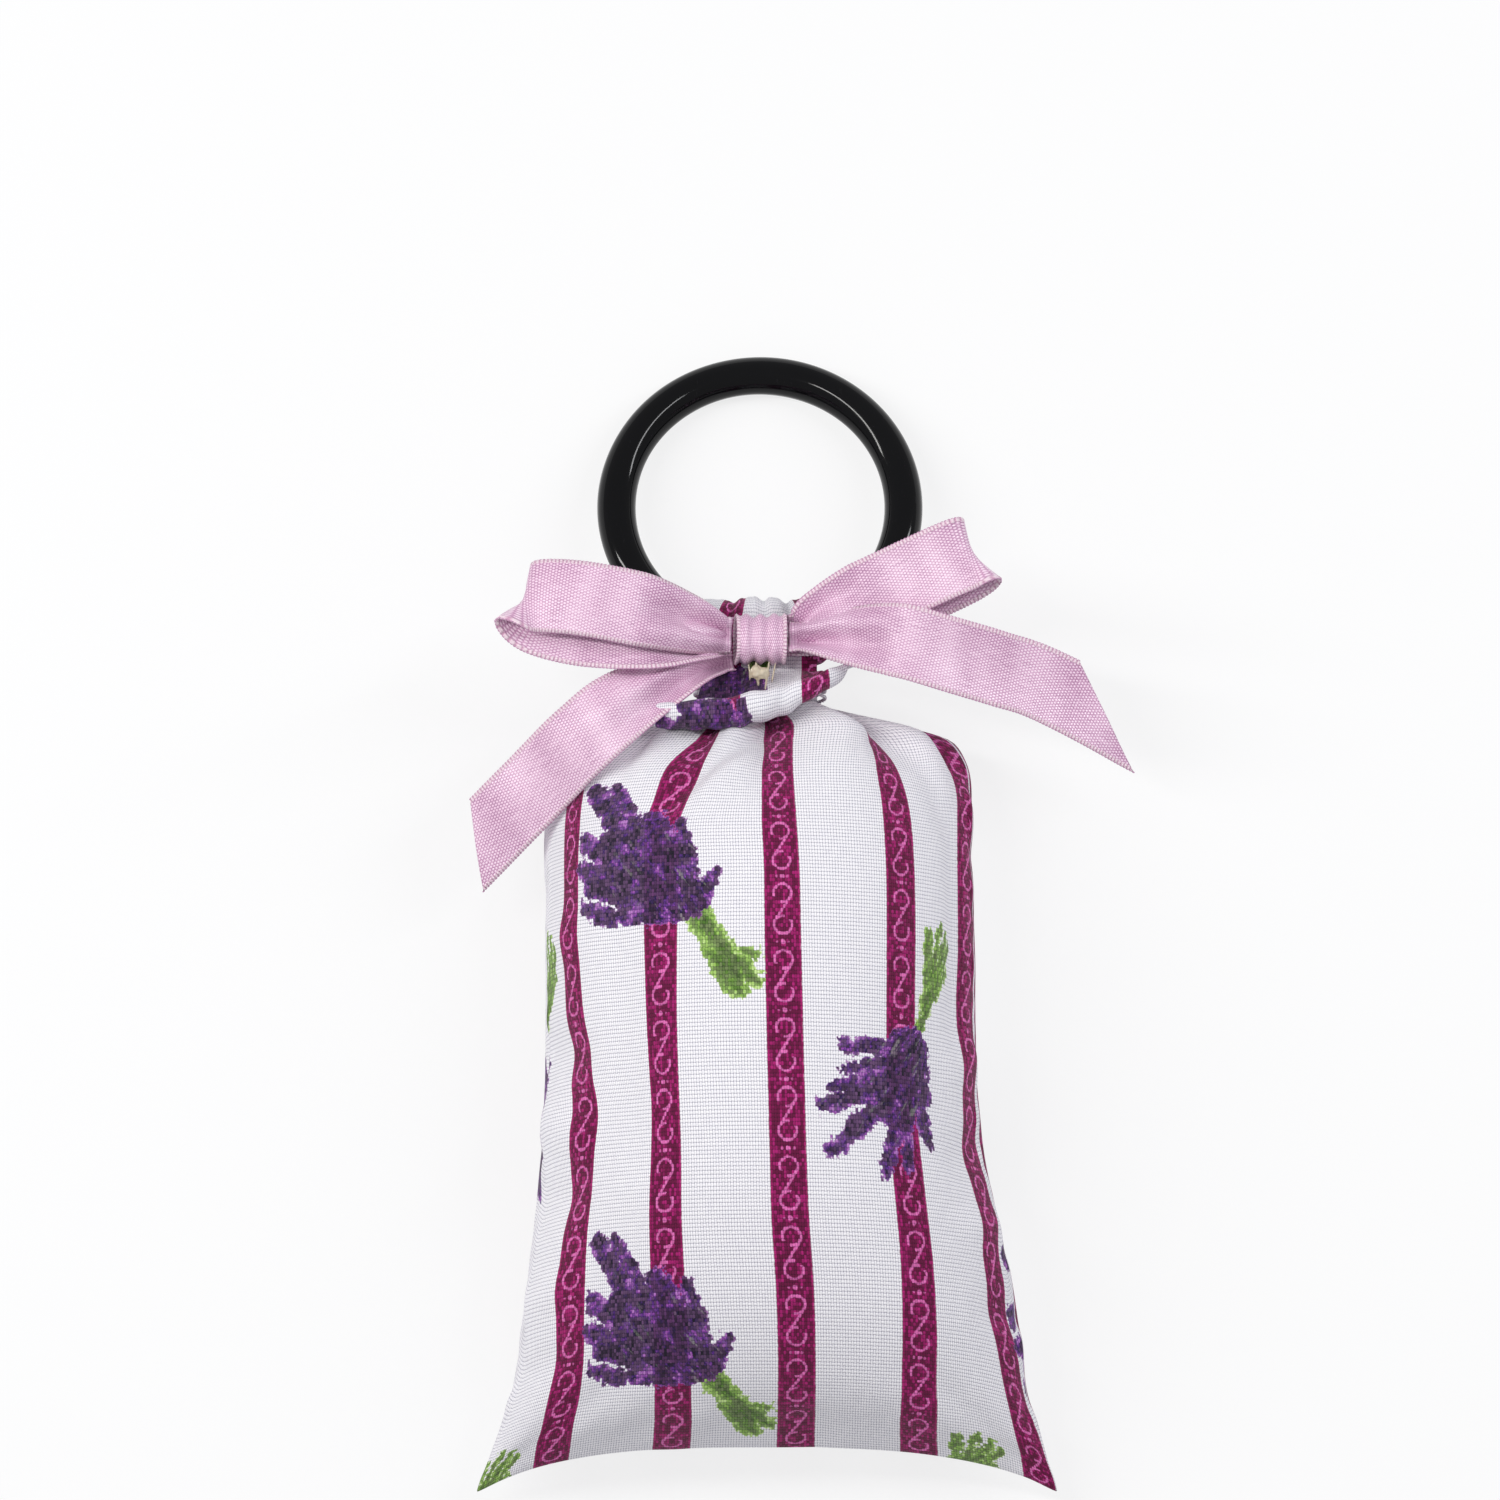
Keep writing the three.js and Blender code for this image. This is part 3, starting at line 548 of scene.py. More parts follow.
# Cloudy mixture of two colours, for thread and glue
def makeMottled(name, size, harshness, dark, pale, rough, strength, depth, **constants):
    tree = newMaterial(name, **constants)
    cloud = grain(tree.add("TexCoord", out="Object"), size, 3, harshness)
    colour = tree.blend(cloud, rgb(*dark), rgb(*pale))
    return finishSurface(tree, colour, cloud * rough[1] + rough[0], cloud, strength, depth)


def makeBuds():
    tree = newMaterial("dried_lavender")
    place = tree.add("TexCoord", out="Object")
    clumps, grit = grain(place, 260), grain(place, 1900, 3, 0.7)
    stops = ((0.2, (70, 62, 92)), (0.45, (118, 106, 148)), (0.62, (138, 132, 120)), (0.8, (168, 156, 186)))
    colour = tree.add("ValToRGB", {0: clumps * 0.7 + grit * 0.45 - 0.1}, stops=stops)
    return finishSurface(tree, colour, grit * 0.12 + 0.86, grit, 0.8, 0.0003)


cottonCloth = makeCotton()
satinRibbon = makeSatin()
blackPlastic = makePlastic()
sewingThread = makeMottled(
    "sewing_thread", 2600, 0.7, (212, 208, 216), (248, 246, 250), (0.62, 0.2), 0.6, 0.00006, Sheen_Weight=0.2,
)
glueSurface = makeMottled(
    "hot_melt_glue", 420, 0.5, (214, 196, 164), (244, 234, 214), (0.16, 0.16), 0.3, 0.0001, IOR=1.45,
    Transmission_Weight=0.35,
)
driedBuds = makeBuds()
print("materials made")


# Pouch: two panels of cotton, sewn together at three sides, filled and gathered at the neck
pouch = {
    "length": 106, "flatHalfWidth": 41.5, "flatLength": 119, "frontSwell": 18.9, "backSwell": 18.5,
    "sideDraw": 0.7, "backPrint": 37, "middleHeight": 18.5, "bottom": -49.004, "earReach": 5.5, "earDrop": 4,
    "columns": 66, "pleats": 10, "valleys": (-51, -36, -24, -12, 1, 26, 38, 53, 69, 84, 100),
    "gatherFrom": 0.78, "neckShrink": 0.35,
    "seamDraw": 0.09, "seamWave": 1.6, "seamWaveLength": 11,
    "printShifts": (  # height up the cloth, then how far each stripe lies to the left
        (7, 0.3, 0.5, 0.5, 0.6, 0), (19, -0.3, 1.2, 0.6, 0, 1), (28, 0, 1.9, 0.8, -0.1, 2),
        (37, 0, 2.2, 1, -0.3, 2.3), (47, -0.9, 2.1, 0.8, -0.3, 0.4), (53, -1.8, 2.2, 0.7, -0.2, 0.4),
        (59, 0.3, 2.4, 0.7, -0.4, 0.7), (67, 2.2, 2.6, 0.8, -0.6, 0.4), (78, 3.6, 2.6, 1, -0.8, -0.4),
        (88, 4, 2.5, 1, -1.2, -0.8), (94, 3.8, 2.6, 1.1, -1.4, -1), (99, 3.4, 1.2, 1.2, -1.4, -1.2),
        (104, 2.6, 0, 1.3, -1, -1.5), (110, 2, -2, 1.4, -1, -2),
    ),
    "folds": (  # start and end on the cloth, width and height
        (1.5, 114, -15, 97, 2, -1.3), (-1, 108, -11, 98, 2.6, 0.8), (-23, 84, -19, 46, 4, -1),
        (-42, 55, -27, 50, 3.4, 1.3), (-42, 64, -28, 62, 3, -1.1), (-42, 43, -28, 42, 3.2, -0.9),
        (-42, 81, -31, 78, 3, 0.8), (-42, 29, -30, 30, 3, 0.8), (-42, 19, -31, 20, 2.6, -0.6),
        (35, 98, 34, 62, 2.4, -1.1), (42, 52, 30, 47, 3.2, -1), (42, 41, 31, 38, 3, 1),
        (42, 64, 31, 60, 3, 0.9), (42, 28, 32, 27, 2.8, -0.8), (26, 114, 33, 96, 2.2, -1),
        (-38, 3, -19, 17, 3.2, -0.8), (38, 3, 20, 18, 3.2, -0.8), (-14, 1, -9, 9, 2.6, 0.6),
        (8, 1, 5, 9, 2.6, -0.5),
    ),
    "frames": 30, "pressure": 7, "gravity": 1, "cap": 7, "bottomCap": 0.6, "widen": 0.022, "floor": 0.15,
}
leftWidthShares = [
    [0, 0.978], [0.1, 0.865], [0.2, 0.807], [0.3, 0.764], [0.4, 0.737], [0.5, 0.725], [0.7, 0.72],
    [0.88, 0.713], [0.93, 0.645], [0.965, 0.53], [0.985, 0.38], [1, 0.236],
]
rightWidthShares = [
    [0, 1.024], [0.1, 0.932], [0.2, 0.875], [0.3, 0.805], [0.4, 0.754], [0.5, 0.73], [0.7, 0.72],
    [0.88, 0.696], [0.93, 0.655], [0.965, 0.575], [0.985, 0.42], [1, 0.236],
]
frontSwellShares = [
    [0, 0], [0.03, 0.27], [0.07, 0.5], [0.14, 0.73], [0.21, 0.84], [0.28, 0.915], [0.35, 0.96],
    [0.45, 1], [0.6, 1], [0.68, 0.98], [0.76, 0.92], [0.83, 0.83], [0.89, 0.69], [0.94, 0.5],
    [0.97, 0.412], [1, 0.328],
]
backSwellShares = [
    [0, 0], [0.03, 0.3], [0.08, 0.61], [0.14, 0.79], [0.21, 0.89], [0.3, 0.96], [0.4, 1], [0.6, 1],
    [0.72, 0.97], [0.83, 0.82], [0.91, 0.58], [0.96, 0.38], [1, 0.31],
]
middleShares = [
    [0, 0.62], [0.1, 0.77], [0.2, 0.9], [0.32, 0.985], [0.45, 1], [0.6, 1], [0.75, 0.95], [0.88, 0.81],
    [1, 0.638],
]
earShares = [[0, 1], [0.08, 0.5], [0.18, 0.12], [0.3, 0], [1, 0]]


def clothShape(across, along, face):  # filled shape of a panel, across from -1 to 1 and along from 0 to 1
    turn = across * math.pi / 2
    shares = np.where(across < 0, follow(leftWidthShares, along), follow(rightWidthShares, along))
    ear = follow(earShares, along) * np.abs(np.sin(turn)) ** 3
    if face > 0:
        drawn = 1 - pouch["sideDraw"] * np.abs(np.sin(turn)) ** 10
        rise = pouch["frontSwell"] * follow(frontSwellShares, along) * np.maximum(np.cos(turn), 0) ** 1.1 * drawn
    else:
        nearNeck = smooth(0.75, 0.97, along)
        rounded = np.maximum(1 - np.abs(np.sin(turn)) ** mix(7, 2, nearNeck), 0) ** mix(0.6, 0.5, nearNeck)
        rise = pouch["backSwell"] * follow(backSwellShares, along) * rounded
    return together(
        shares * pouch["flatHalfWidth"] * np.sin(turn),
        pouch["bottom"] + along * pouch["length"] - pouch["earReach"] * ear,
        pouch["middleHeight"] * follow(middleShares, along) - pouch["earDrop"] * ear + face * rise,
    )


def pleatWave(girth):  # outward height, -1 to 1, and breadth of the gathers round the neck
    valleys = np.array(pouch["valleys"])
    valleys = np.concatenate([valleys, valleys + 4 * pouch["flatHalfWidth"]])
    number = np.interp(girth, valleys, np.arange(len(valleys)))
    middles = (valleys[1:] + valleys[:-1]) / 2
    widths = np.diff(valleys) * pouch["pleats"] / (4 * pouch["flatHalfWidth"])
    breadth = np.interp(girth, middles, widths)
    return 2 * np.abs(np.sin(math.pi * number)) ** 0.85 - 1, breadth


def panelGrid(face):  # points of a panel by equal steps of cloth, with its gathers
    half, columns = pouch["flatHalfWidth"], pouch["columns"]
    rows = round(columns * pouch["flatLength"] / (2 * half))
    fine, across = np.linspace(0, 1, 500), np.linspace(-1, 1, columns + 1)
    down = arcPlaces(clothShape(np.zeros(500), fine, face))
    alongs = np.interp(np.linspace(0, 1, rows + 1), down / down[-1], fine)
    points = np.zeros((rows + 1, columns + 1, 3))
    spread = np.linspace(-1, 1, 241)
    for row, along in enumerate(alongs):
        reach = arcPlaces(clothShape(spread, np.full(241, along), face))
        places = np.interp(across, reach / reach[-1] * 2 - 1, spread)
        points[row] = clothShape(places, np.full(columns + 1, along), face)
    share = np.linspace(0, 1, rows + 1)[:, None]
    length = np.linalg.norm(np.diff(points, axis=1), axis=2).sum(1)[:, None]
    tight = 1 - pouch["neckShrink"] * smooth(0.955, 1, share)
    spare = np.maximum((2 * half / np.maximum(length, 1) / tight) ** 2 - 1, 0)
    girth = across[None] * half if face > 0 else 2 * half - across[None] * half
    wave, breadth = pleatWave(girth)
    depth = length / pouch["pleats"] / 2 * np.sqrt(spare) * smooth(pouch["gatherFrom"], 1, share)
    depth = depth * tight * breadth
    middle = points.copy()
    middle[..., 0], middle[..., 2] = 0, pouch["middleHeight"] * follow(middleShares, alongs)[:, None]
    radial = points - middle
    far = np.linalg.norm(radial, axis=-1)
    points = middle + unit(radial) * (far * tight + depth * wave)[..., None]
    points[..., 2] = np.maximum(points[..., 2], pouch["floor"])
    cloth = np.stack(np.meshgrid(across * half, share[:, 0] * pouch["flatLength"]), -1)
    return points, cloth


def printShift(cloth):  # how far the print lies aside on the front panel, by place on the cloth
    u, v = cloth[..., 0], cloth[..., 1]
    rows = np.array(pouch["printShifts"])
    stripes = cotton["stripePlace"] + cotton["stripePitch"] * np.arange(-2, 3)
    stripes = np.array([-pouch["flatHalfWidth"], *stripes, pouch["flatHalfWidth"]])
    shifts = np.array([follow(rows[:, [0, k]], v) for k in range(1, 6)])
    shifts = np.concatenate([0 * shifts[:1], shifts, shifts[-1:]])
    number = np.clip(np.searchsorted(stripes, u) - 1, 0, 5)
    share = smooth(0, 1, (u - stripes[number]) / (stripes[number + 1] - stripes[number]))
    spots = tuple(np.indices(u.shape))
    return mix(shifts[(number, *spots)], shifts[(number + 1, *spots)], share)


def foldDepth(cloth):  # height of the creases on the front panel, by place on the cloth
    u, v = cloth[..., 0], cloth[..., 1]
    height = 0 * u
    for u0, v0, u1, v1, width, depth in pouch["folds"]:
        reach = np.array([u1 - u0, v1 - v0])
        share = ((u - u0) * reach[0] + (v - v0) * reach[1]) / (reach @ reach)
        within = np.clip(share, 0, 1)
        far = np.hypot(u - u0 - within * reach[0], v - v0 - within * reach[1])
        ends = smooth(-0.25, 0.3, share) * smooth(1.25, 0.7, share)
        height = height + depth * np.exp(-((far / width) ** 2)) * ends
    return height


def pouchCloth():  # basis and flat points, faces, fabric places by corner, and the two panels' numbers
    (front, cloth), (back, _) = panelGrid(1), panelGrid(-1)
    rows, columns = front.shape[:2]
    frontNumbers = np.arange(rows * columns).reshape(rows, columns)
    backNumbers = frontNumbers.copy()
    inner = (rows - 1) * (columns - 2)
    backNumbers[1:, 1:-1] = rows * columns + np.arange(inner).reshape(rows - 1, columns - 2)
    shape = np.vstack([front.reshape(-1, 3), back[1:, 1:-1].reshape(-1, 3)])
    seam = np.unique(np.concatenate([frontNumbers[:, 0], frontNumbers[:, -1], frontNumbers[0]]))
    shape[seam] = (front.reshape(-1, 3)[seam] + back.reshape(-1, 3)[seam]) / 2
    flat = np.concatenate([cloth, np.full((rows, columns, 1), 0.5)], -1)
    flat[0, :, 2] = flat[:, 0, 2] = flat[:, -1, 2] = 0
    under = flat[1:, 1:-1] * [1, 1, -1]
    flat = np.vstack([flat.reshape(-1, 3), under.reshape(-1, 3)])
    waver = ripple(together(np.arange(rows) * 0.7, 0, 0), 5, 2)
    for side, phase in ((frontNumbers[:, 0], 0), (frontNumbers[:, -1], 1.7)):
        places = flat[side, 1]  # the seam's thread draws the cloth in, so that it puckers
        wave = np.sin(turnRound * places / pouch["seamWaveLength"] + phase + 2.5 * waver)
        share = places / pouch["flatLength"]
        shape[side, 2] += pouch["seamWave"] * wave * smooth(0.04, 0.15, share) * smooth(0.97, 0.85, share)
        flat[side, 1] = mix(places, pouch["flatLength"] / 2, pouch["seamDraw"])
    faces, corners = [], []
    shifts = printShift(cloth)
    for quad in quads(rows, columns):
        faces.append([int(frontNumbers[q]) for q in quad])
        corners.extend(cloth[q] + [shifts[q], 0] for q in quad)
        quad = quad[::-1]
        faces.append([int(backNumbers[q]) for q in quad])
        corners.extend(cloth[q] * [-1, 1] + [2 * cotton["stripePlace"], pouch["backPrint"]] for q in quad)
    return shape, flat, faces, np.array(corners), frontNumbers, backNumbers


def simulateCloth(shape, flat, faces, held):  # fills the pouch, ten times as large as it is
    mesh = bpy.data.meshes.new("clothTrial")
    mesh.from_pydata((shape / 100).tolist(), [], faces)
    trial = newObject("clothTrial", mesh)
    trial.shape_key_add(name="Basis")
    cut = trial.shape_key_add(name="flat")
    cut.data.foreach_set("co", (flat / 100).ravel())
    group = trial.vertex_groups.new(name="held")
    for number in np.nonzero(held > 0)[0]:
        group.add([int(number)], float(held[number]), "REPLACE")
    table = floor.copy()
    table.data = floor.data.copy()
    bpy.context.scene.collection.objects.link(table)
    table.modifiers.new("collision", "COLLISION")
    table.collision.thickness_outer, table.collision.cloth_friction = 0.002, 5
    cloth = trial.modifiers.new("cloth", "CLOTH")
    facts = cloth.settings
    facts.quality, facts.mass, facts.air_damping = 6, 0.02, 2
    facts.tension_stiffness = facts.compression_stiffness = 30
    facts.shear_stiffness, facts.bending_stiffness = 5, 0.3
    facts.tension_damping = facts.compression_damping = facts.shear_damping = 5
    facts.rest_shape_key, facts.vertex_group_mass = cut, "held"
    facts.use_pressure, facts.uniform_pressure_force = True, pouch["pressure"]
    facts.effector_weights.gravity = pouch["gravity"]
    cloth.collision_settings.distance_min = 0.002
    cloth.point_cache.frame_start, cloth.point_cache.frame_end = 1, pouch["frames"]
    for step in range(1, pouch["frames"] + 1):
        bpy.context.scene.frame_set(step)
    graph = bpy.context.evaluated_depsgraph_get()
    result = trial.evaluated_get(graph).data
    places = np.zeros(len(shape) * 3, np.float32)
    result.vertices.foreach_get("co", places)
    bpy.context.scene.frame_set(1)
    for spent in (trial, table):
        data = spent.data
        bpy.data.objects.remove(spent)
        bpy.data.meshes.remove(data)
    return places.reshape(-1, 3).astype(float) * 100


def makePouch():
    shape, flat, faces, corners, frontNumbers, backNumbers = pouchCloth()
    share = flat[:, 1] / pouch["flatLength"]
    share[frontNumbers[:, 0]] = share[frontNumbers[:, -1]] = share[frontNumbers[:, 1]]
    held = smooth(0.93, 1, share)
    points = shape
    moved = simulateCloth(shape, flat, faces, held) - shape
    far = np.linalg.norm(moved, axis=1, keepdims=True)
    cap = mix(pouch["bottomCap"], pouch["cap"], smooth(0.02, 0.2, share))[:, None]
    points = shape + moved * np.minimum(1, cap / np.maximum(far, 1e-9))
    points[:, 0] *= 1 + pouch["widen"] * smooth(0.12, 0.35, share) * smooth(0.99, 0.88, share)
    print(f"pouch cloth moved by up to {far.max():.1f} mm, {far.mean():.1f} mm on average")
    front = points[frontNumbers]
    outward = np.cross(np.gradient(front, axis=1), np.gradient(front, axis=0))
    points[frontNumbers] = front + unit(outward) * foldDepth(flat[frontNumbers])[..., None]
    points[:, 2] = np.maximum(points[:, 2], pouch["floor"])
    rim = np.concatenate([frontNumbers[-1], backNumbers[-1, -2:0:-1]])
    caps = [[int(a), int(b), len(points)] for a, b in zip(rim, np.roll(rim, -1))]
    points = np.vstack([points, points[rim].mean(0)])
    top = [(u * 0.2, pouch["flatLength"]) for face in caps for u in points[face, 0]]
    piece = clothObject("pouch_cloth", points, faces + caps, np.vstack([corners, top]), cottonCloth)
    outwards(piece)
    finer = piece.modifiers.new("finer", "SUBSURF")
    finer.levels = finer.render_levels = 1
    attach(piece, "pouch")
    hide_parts("pouch_front", "pouch_back")
    return points, frontNumbers, backNumbers


pouchPoints, frontNumbers, backNumbers = makePouch()
print("pouch made")


# Lavender inside the pouch, with buds on its surface
filling = {
    "inset": 2.1, "from": 9, "upTo": 0.86, "budLength": 2.6, "budWidth": 1.0, "density": 160000.0, "seed": 11,
    "shrink": 0.06, "waver": 0.6,
}


def makeFilling():
    rows = frontNumbers.shape[0]
    rings = []
    for row in range(filling["from"], int(rows * filling["upTo"]), 2):
        ring = pouchPoints[np.concatenate([frontNumbers[row, ::2], backNumbers[row, -3:1:-2]])]
        middle = ring.mean(0)
        radial = ring - middle
        far = np.linalg.norm(radial, axis=1, keepdims=True)
        radial = unit(radial) * np.maximum(far - filling["inset"] - filling["shrink"] * far, 0.5)
        for _ in range(4):
            radial = (np.roll(radial, 1, 0) + 2 * radial + np.roll(radial, -1, 0)) / 4
        rings.append(middle + radial * 0.985)
    rings = np.array(rings)
    middles = rings.mean(1, keepdims=True)
    for end in (0, -1):
        rings[end] = mix(middles[end], rings[end], 0.75)
    first, last = (mix(middles[end], rings[end], 0.02)[None] for end in (0, -1))
    rings = np.concatenate([first, rings, last])
    rings = np.concatenate([rings, rings[:, :1]], 1)
    rings += (ripple(rings, 9, 4) * filling["waver"])[..., None] * unit(rings - rings.mean(1, keepdims=True))
    piece = sheetMesh("lavender_fill", rings, rings[..., :2], driedBuds, aroundAcross=True)
    outwards(piece, 1e-4)
    bud, tree, start = geometryTree("buds", "Density", "Length", "Width", "Seed")
    wide, seed = start.out("Width"), start.out("Seed")
    spots = tree.add("DistributePointsOnFaces", {"Mesh": start, "Density": start.out("Density"), "Seed": seed})
    ball = tree.add("MeshUVSphere", {"Segments": 5, "Rings": 4, "Radius": 0.5})
    seedling = tree.add("Transform", {"Geometry": ball, "Scale": at(wide, wide, start.out("Length"))})
    ways = {1: (math.pi, math.pi, turnRound), "Seed": seed}
    turn = tree.add("FunctionNodeRandomValue", ways, data_type="FLOAT_VECTOR")
    grow = tree.add("FunctionNodeRandomValue", {2: 0.7, 3: 1.15, "Seed": seed}, 1)
    parts = {"Points": spots, "Instance": seedling, "Rotation": turn, "Scale": grow}
    closeTree(tree, joined(tree, (start, tree.add("InstanceOnPoints", parts))), driedBuds)
    runTree(piece, bud, {
        "Density": filling["density"], "Length": filling["budLength"] * mm, "Width": filling["budWidth"] * mm,
        "Seed": filling["seed"],
    })
    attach(piece, "pouch")
    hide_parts("lavender_filling")


makeFilling()
print("lavender filling made")


# Stitches of the seams, on the inside of the pouch's edge
stitches = {"spacing": 2.3, "length": 1.9, "thickness": 0.4, "uneven": 0.12, "seed": 5, "inset": 1.5}


def repeatTree(name, material, segments=6, rings=5):  # beads or stitches along a line
    group, tree, start = geometryTree(name, "Spacing", "Length", "Thickness", "Uneven", "Seed")
    line = tree.add("MeshToCurve", {"Mesh": start})
    even = tree.add("ResampleCurve", {"Curve": line, "Length": start.out("Spacing")}, mode="LENGTH")
    thick = start.out("Thickness")
    ball = tree.add("MeshUVSphere", {"Segments": segments, "Rings": rings, "Radius": 0.5})
    bead = tree.add("Transform", {"Geometry": ball, "Scale": at(thick, thick, start.out("Length"))})
    turn = tree.add("FunctionNodeAlignRotationToVector", {"Vector": tree.add("InputTangent")}, axis="Z")
    sizes = {2: 1 - start.out("Uneven"), 3: 1, "Seed": start.out("Seed")}
    grow = tree.add("FunctionNodeRandomValue", sizes, 1)
    parts = {"Points": even, "Instance": bead, "Rotation": turn, "Scale": grow}
    closeTree(tree, tree.add("InstanceOnPoints", parts), material)
    return group


def beadRow(name, points, group, kind):  # beads or stitches of one kind along a row of points
    values = {title.capitalize(): kind[title] * mm for title in ("spacing", "length", "thickness")}
    return runTree(lineObject(name, points), group, {**values, "Uneven": kind["uneven"], "Seed": kind["seed"]})


stitchTree = repeatTree("stitchRow", sewingThread)


def makeSeams():
    inset = stitches["inset"]
    rows = {
        "side_seam_left": (frontNumbers[3:-6, 0], (inset, 0, 0)),
        "side_seam_right": (frontNumbers[3:-6, -1], (-inset, 0, 0)),
        "bottom_seam": (frontNumbers[0, 3:-3], (0, inset, 0)),
    }
    for name, (numbers, inwards) in rows.items():
        line = beadRow(name + "_thread", pouchPoints[numbers] + inwards, stitchTree, stitches)
        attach(line, "pouch")
        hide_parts(name)


makeSeams()
print("seams stitched")


# Tie of twisted thread round the neck
tie = {
    "first": 58.171, "pitch": 1.05, "turns": 2, "halfWidth": 9.175, "halfHeight": 6.075, "height": 11.8,
    "plyOffset": 0.14, "plyRadius": 0.15, "twists": 62,
}


def makeTie():
    turn = np.linspace(0, turnRound * tie["turns"], 48 * tie["turns"] + 1)
    route = together(
        tie["halfWidth"] * np.sin(turn), tie["first"] + tie["pitch"] * turn / turnRound,
        tie["height"] - tie["halfHeight"] * np.cos(turn),
    )
    group, tree, start = geometryTree("twistedThread", "Offset", "Radius", "Twists")
    line = tree.add("MeshToCurve", {"Mesh": start})
    fine = tree.add("ResampleCurve", {"Curve": line, "Count": 560}, mode="COUNT")
    along, up = tree.add("SplineParameter"), tree.add("InputNormal")
    aside = tree.add("InputTangent").vector("CROSS_PRODUCT", up)
    profile = tree.add("CurvePrimitiveCircle", {"Resolution": 7, "Radius": start.out("Radius")})
    plies = []
    for phase in (0, math.pi):
        angle = along * start.out("Twists") * turnRound + phase
        rise = up.vector("SCALE", angle.calc("SINE") * start.out("Offset"))
        shift = aside.vector("SCALE", angle.calc("COSINE") * start.out("Offset"))
        ply = tree.add("SetPosition", {"Geometry": fine, "Offset": rise.vector("ADD", shift)})
        plies.append(tree.add("CurveToMesh", {"Curve": ply, "Profile Curve": profile, "Fill Caps": True}))
    closeTree(tree, joined(tree, plies), sewingThread)
    piece = runTree(lineObject("neck_thread", route), group, {
        "Offset": tie["plyOffset"] * mm, "Radius": tie["plyRadius"] * mm, "Twists": float(tie["twists"]),
    })
    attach(piece, "pouch")
    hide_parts("neck_tie")


makeTie()
print("tie wound")


# Bunched neck between the pouch and the ring's wire
neck = {
    "start": 57.3, "height": 11.8, "wireAhead": 66.996, "wireHeight": 11, "seat": 6.62, "seatAhead": 64,
    "foldDepth": 0.42, "rows": 30,
}
neckWidthShares = [[57.2, 9.3], [57.9, 8.78], [60.5, 8.78], [61.5, 9.3], [63, 9.6], [67, 9.7]]
neckHeightShares = [[57.2, 6.1], [57.9, 5.7], [60.5, 5.7], [61.5, 6], [63, 6.15], [67, 6.2]]


def makeNeck():
    rim = pouchPoints[np.concatenate([frontNumbers[-1], backNumbers[-1, -2:0:-1], frontNumbers[-1, :1]])]
    ways = unit(rim[:, [0, 2]] - [0, neck["height"]])
    half = pouch["flatHalfWidth"]
    girth = np.linspace(-half, 3 * half, len(rim))
    fold = 0.5 + 0.5 * mix(pleatWave(girth)[0], ripple(together(girth, 0, 0), 4.1, 1), 0.3)

    def ringAt(ahead, share=1):
        wide, tall = follow(neckWidthShares, ahead), follow(neckHeightShares, ahead)
        outer = 1 / np.hypot(ways[:, 0] / wide, ways[:, 1] / tall)
        far = outer * (1 - neck["foldDepth"] * (1 - fold)) * share
        return ways[:, 0] * far, neck["height"] + ways[:, 1] * far

    def seatOf(z):
        return neck["wireAhead"] - np.sqrt(np.maximum(neck["seat"] ** 2 - (z - neck["wireHeight"]) ** 2, 1.2))

    rows, cloth = [], []
    ends = seatOf(ringAt(neck["seatAhead"])[1])
    for share in np.linspace(0, 1, neck["rows"]):
        ahead = mix(neck["start"], ends, share)
        x, z = ringAt(ahead)
        rows.append(together(x, ahead, z))
        cloth.append(together(girth, pouch["flatLength"] + ahead - neck["start"]))
    for share in (0.93, 0.75, 0.5, 0.25, 0.02):
        x, z = ringAt(neck["seatAhead"], share)
        rows.append(together(x, seatOf(z), z))
        cloth.append(cloth[-1] + [0, 1])
    first = rows[0]
    rows = [mix(first.mean(0), first, share) for share in (0.02, 0.25, 0.6)] + rows
    cloth = [cloth[0]] * (len(rows) - len(cloth)) + cloth
    piece = sheetMesh("neck_cloth", np.array(rows), np.array(cloth), cottonCloth, aroundAcross=True)
    outwards(piece)
    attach(piece, "pouch")
    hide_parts("neck_gather")


makeNeck()
print("neck bunched")


# Ring, and the cloth sleeve round the bottom of its wire
ring = {
    "radius": 20.3, "wire": 2.7, "centre": (0, 86.867, 6.85), "tilt": 0.2059, "around": 256, "section": 40,
    "seamRidge": 0.035, "seamWidth": 0.09, "inset": 0.02, "ovalness": 0.012, "unevenness": 0.008,
}
sleeve = {
    "halfAngle": 0.462, "radius": 6.3, "endRadius": 4.15, "bore": 3.02, "valleys": (-4.9, 0.6, 4.7),
    "valleyDepth": 0.75, "valleyWidth": 0.85, "fineDepth": 0.3, "clothScale": 1.39, "clothPlace": -6.3,
    "clothStart": 163, "clothTurn": 29,
}


def ringPlace(along, around, radius):  # place near the wire: angle along the ring, angle round the wire
    reach = ring["radius"] + radius * np.cos(around)
    x, y, z = reach * np.sin(along), -reach * np.cos(along), radius * np.sin(around)
    lean, centre = ring["tilt"], ring["centre"]
    return together(
        x + centre[0], y * math.cos(lean) + z * math.sin(lean) + centre[1],
        z * math.cos(lean) - y * math.sin(lean) + centre[2],
    )


def makeRing():
    along = np.linspace(0, turnRound, ring["around"] + 1)[None]
    around = np.linspace(0, turnRound, ring["section"] + 1)[:, None]
    ridge = ring["seamRidge"] * np.exp(-(np.sin(around) / ring["seamWidth"]) ** 2)
    uneven = ring["ovalness"] * np.sin(3 * along + 0.4) + ring["unevenness"] * np.sin(7 * along)
    points = ringPlace(along, around, ring["wire"] - ring["inset"] + ridge + uneven)
    cloth = together(along * ring["radius"], around * ring["wire"])
    piece = sheetMesh("hanging_ring_plastic", points, cloth, blackPlastic, True, True)
    outwards(piece)
    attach(piece, "ring")
    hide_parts("hanging_ring")


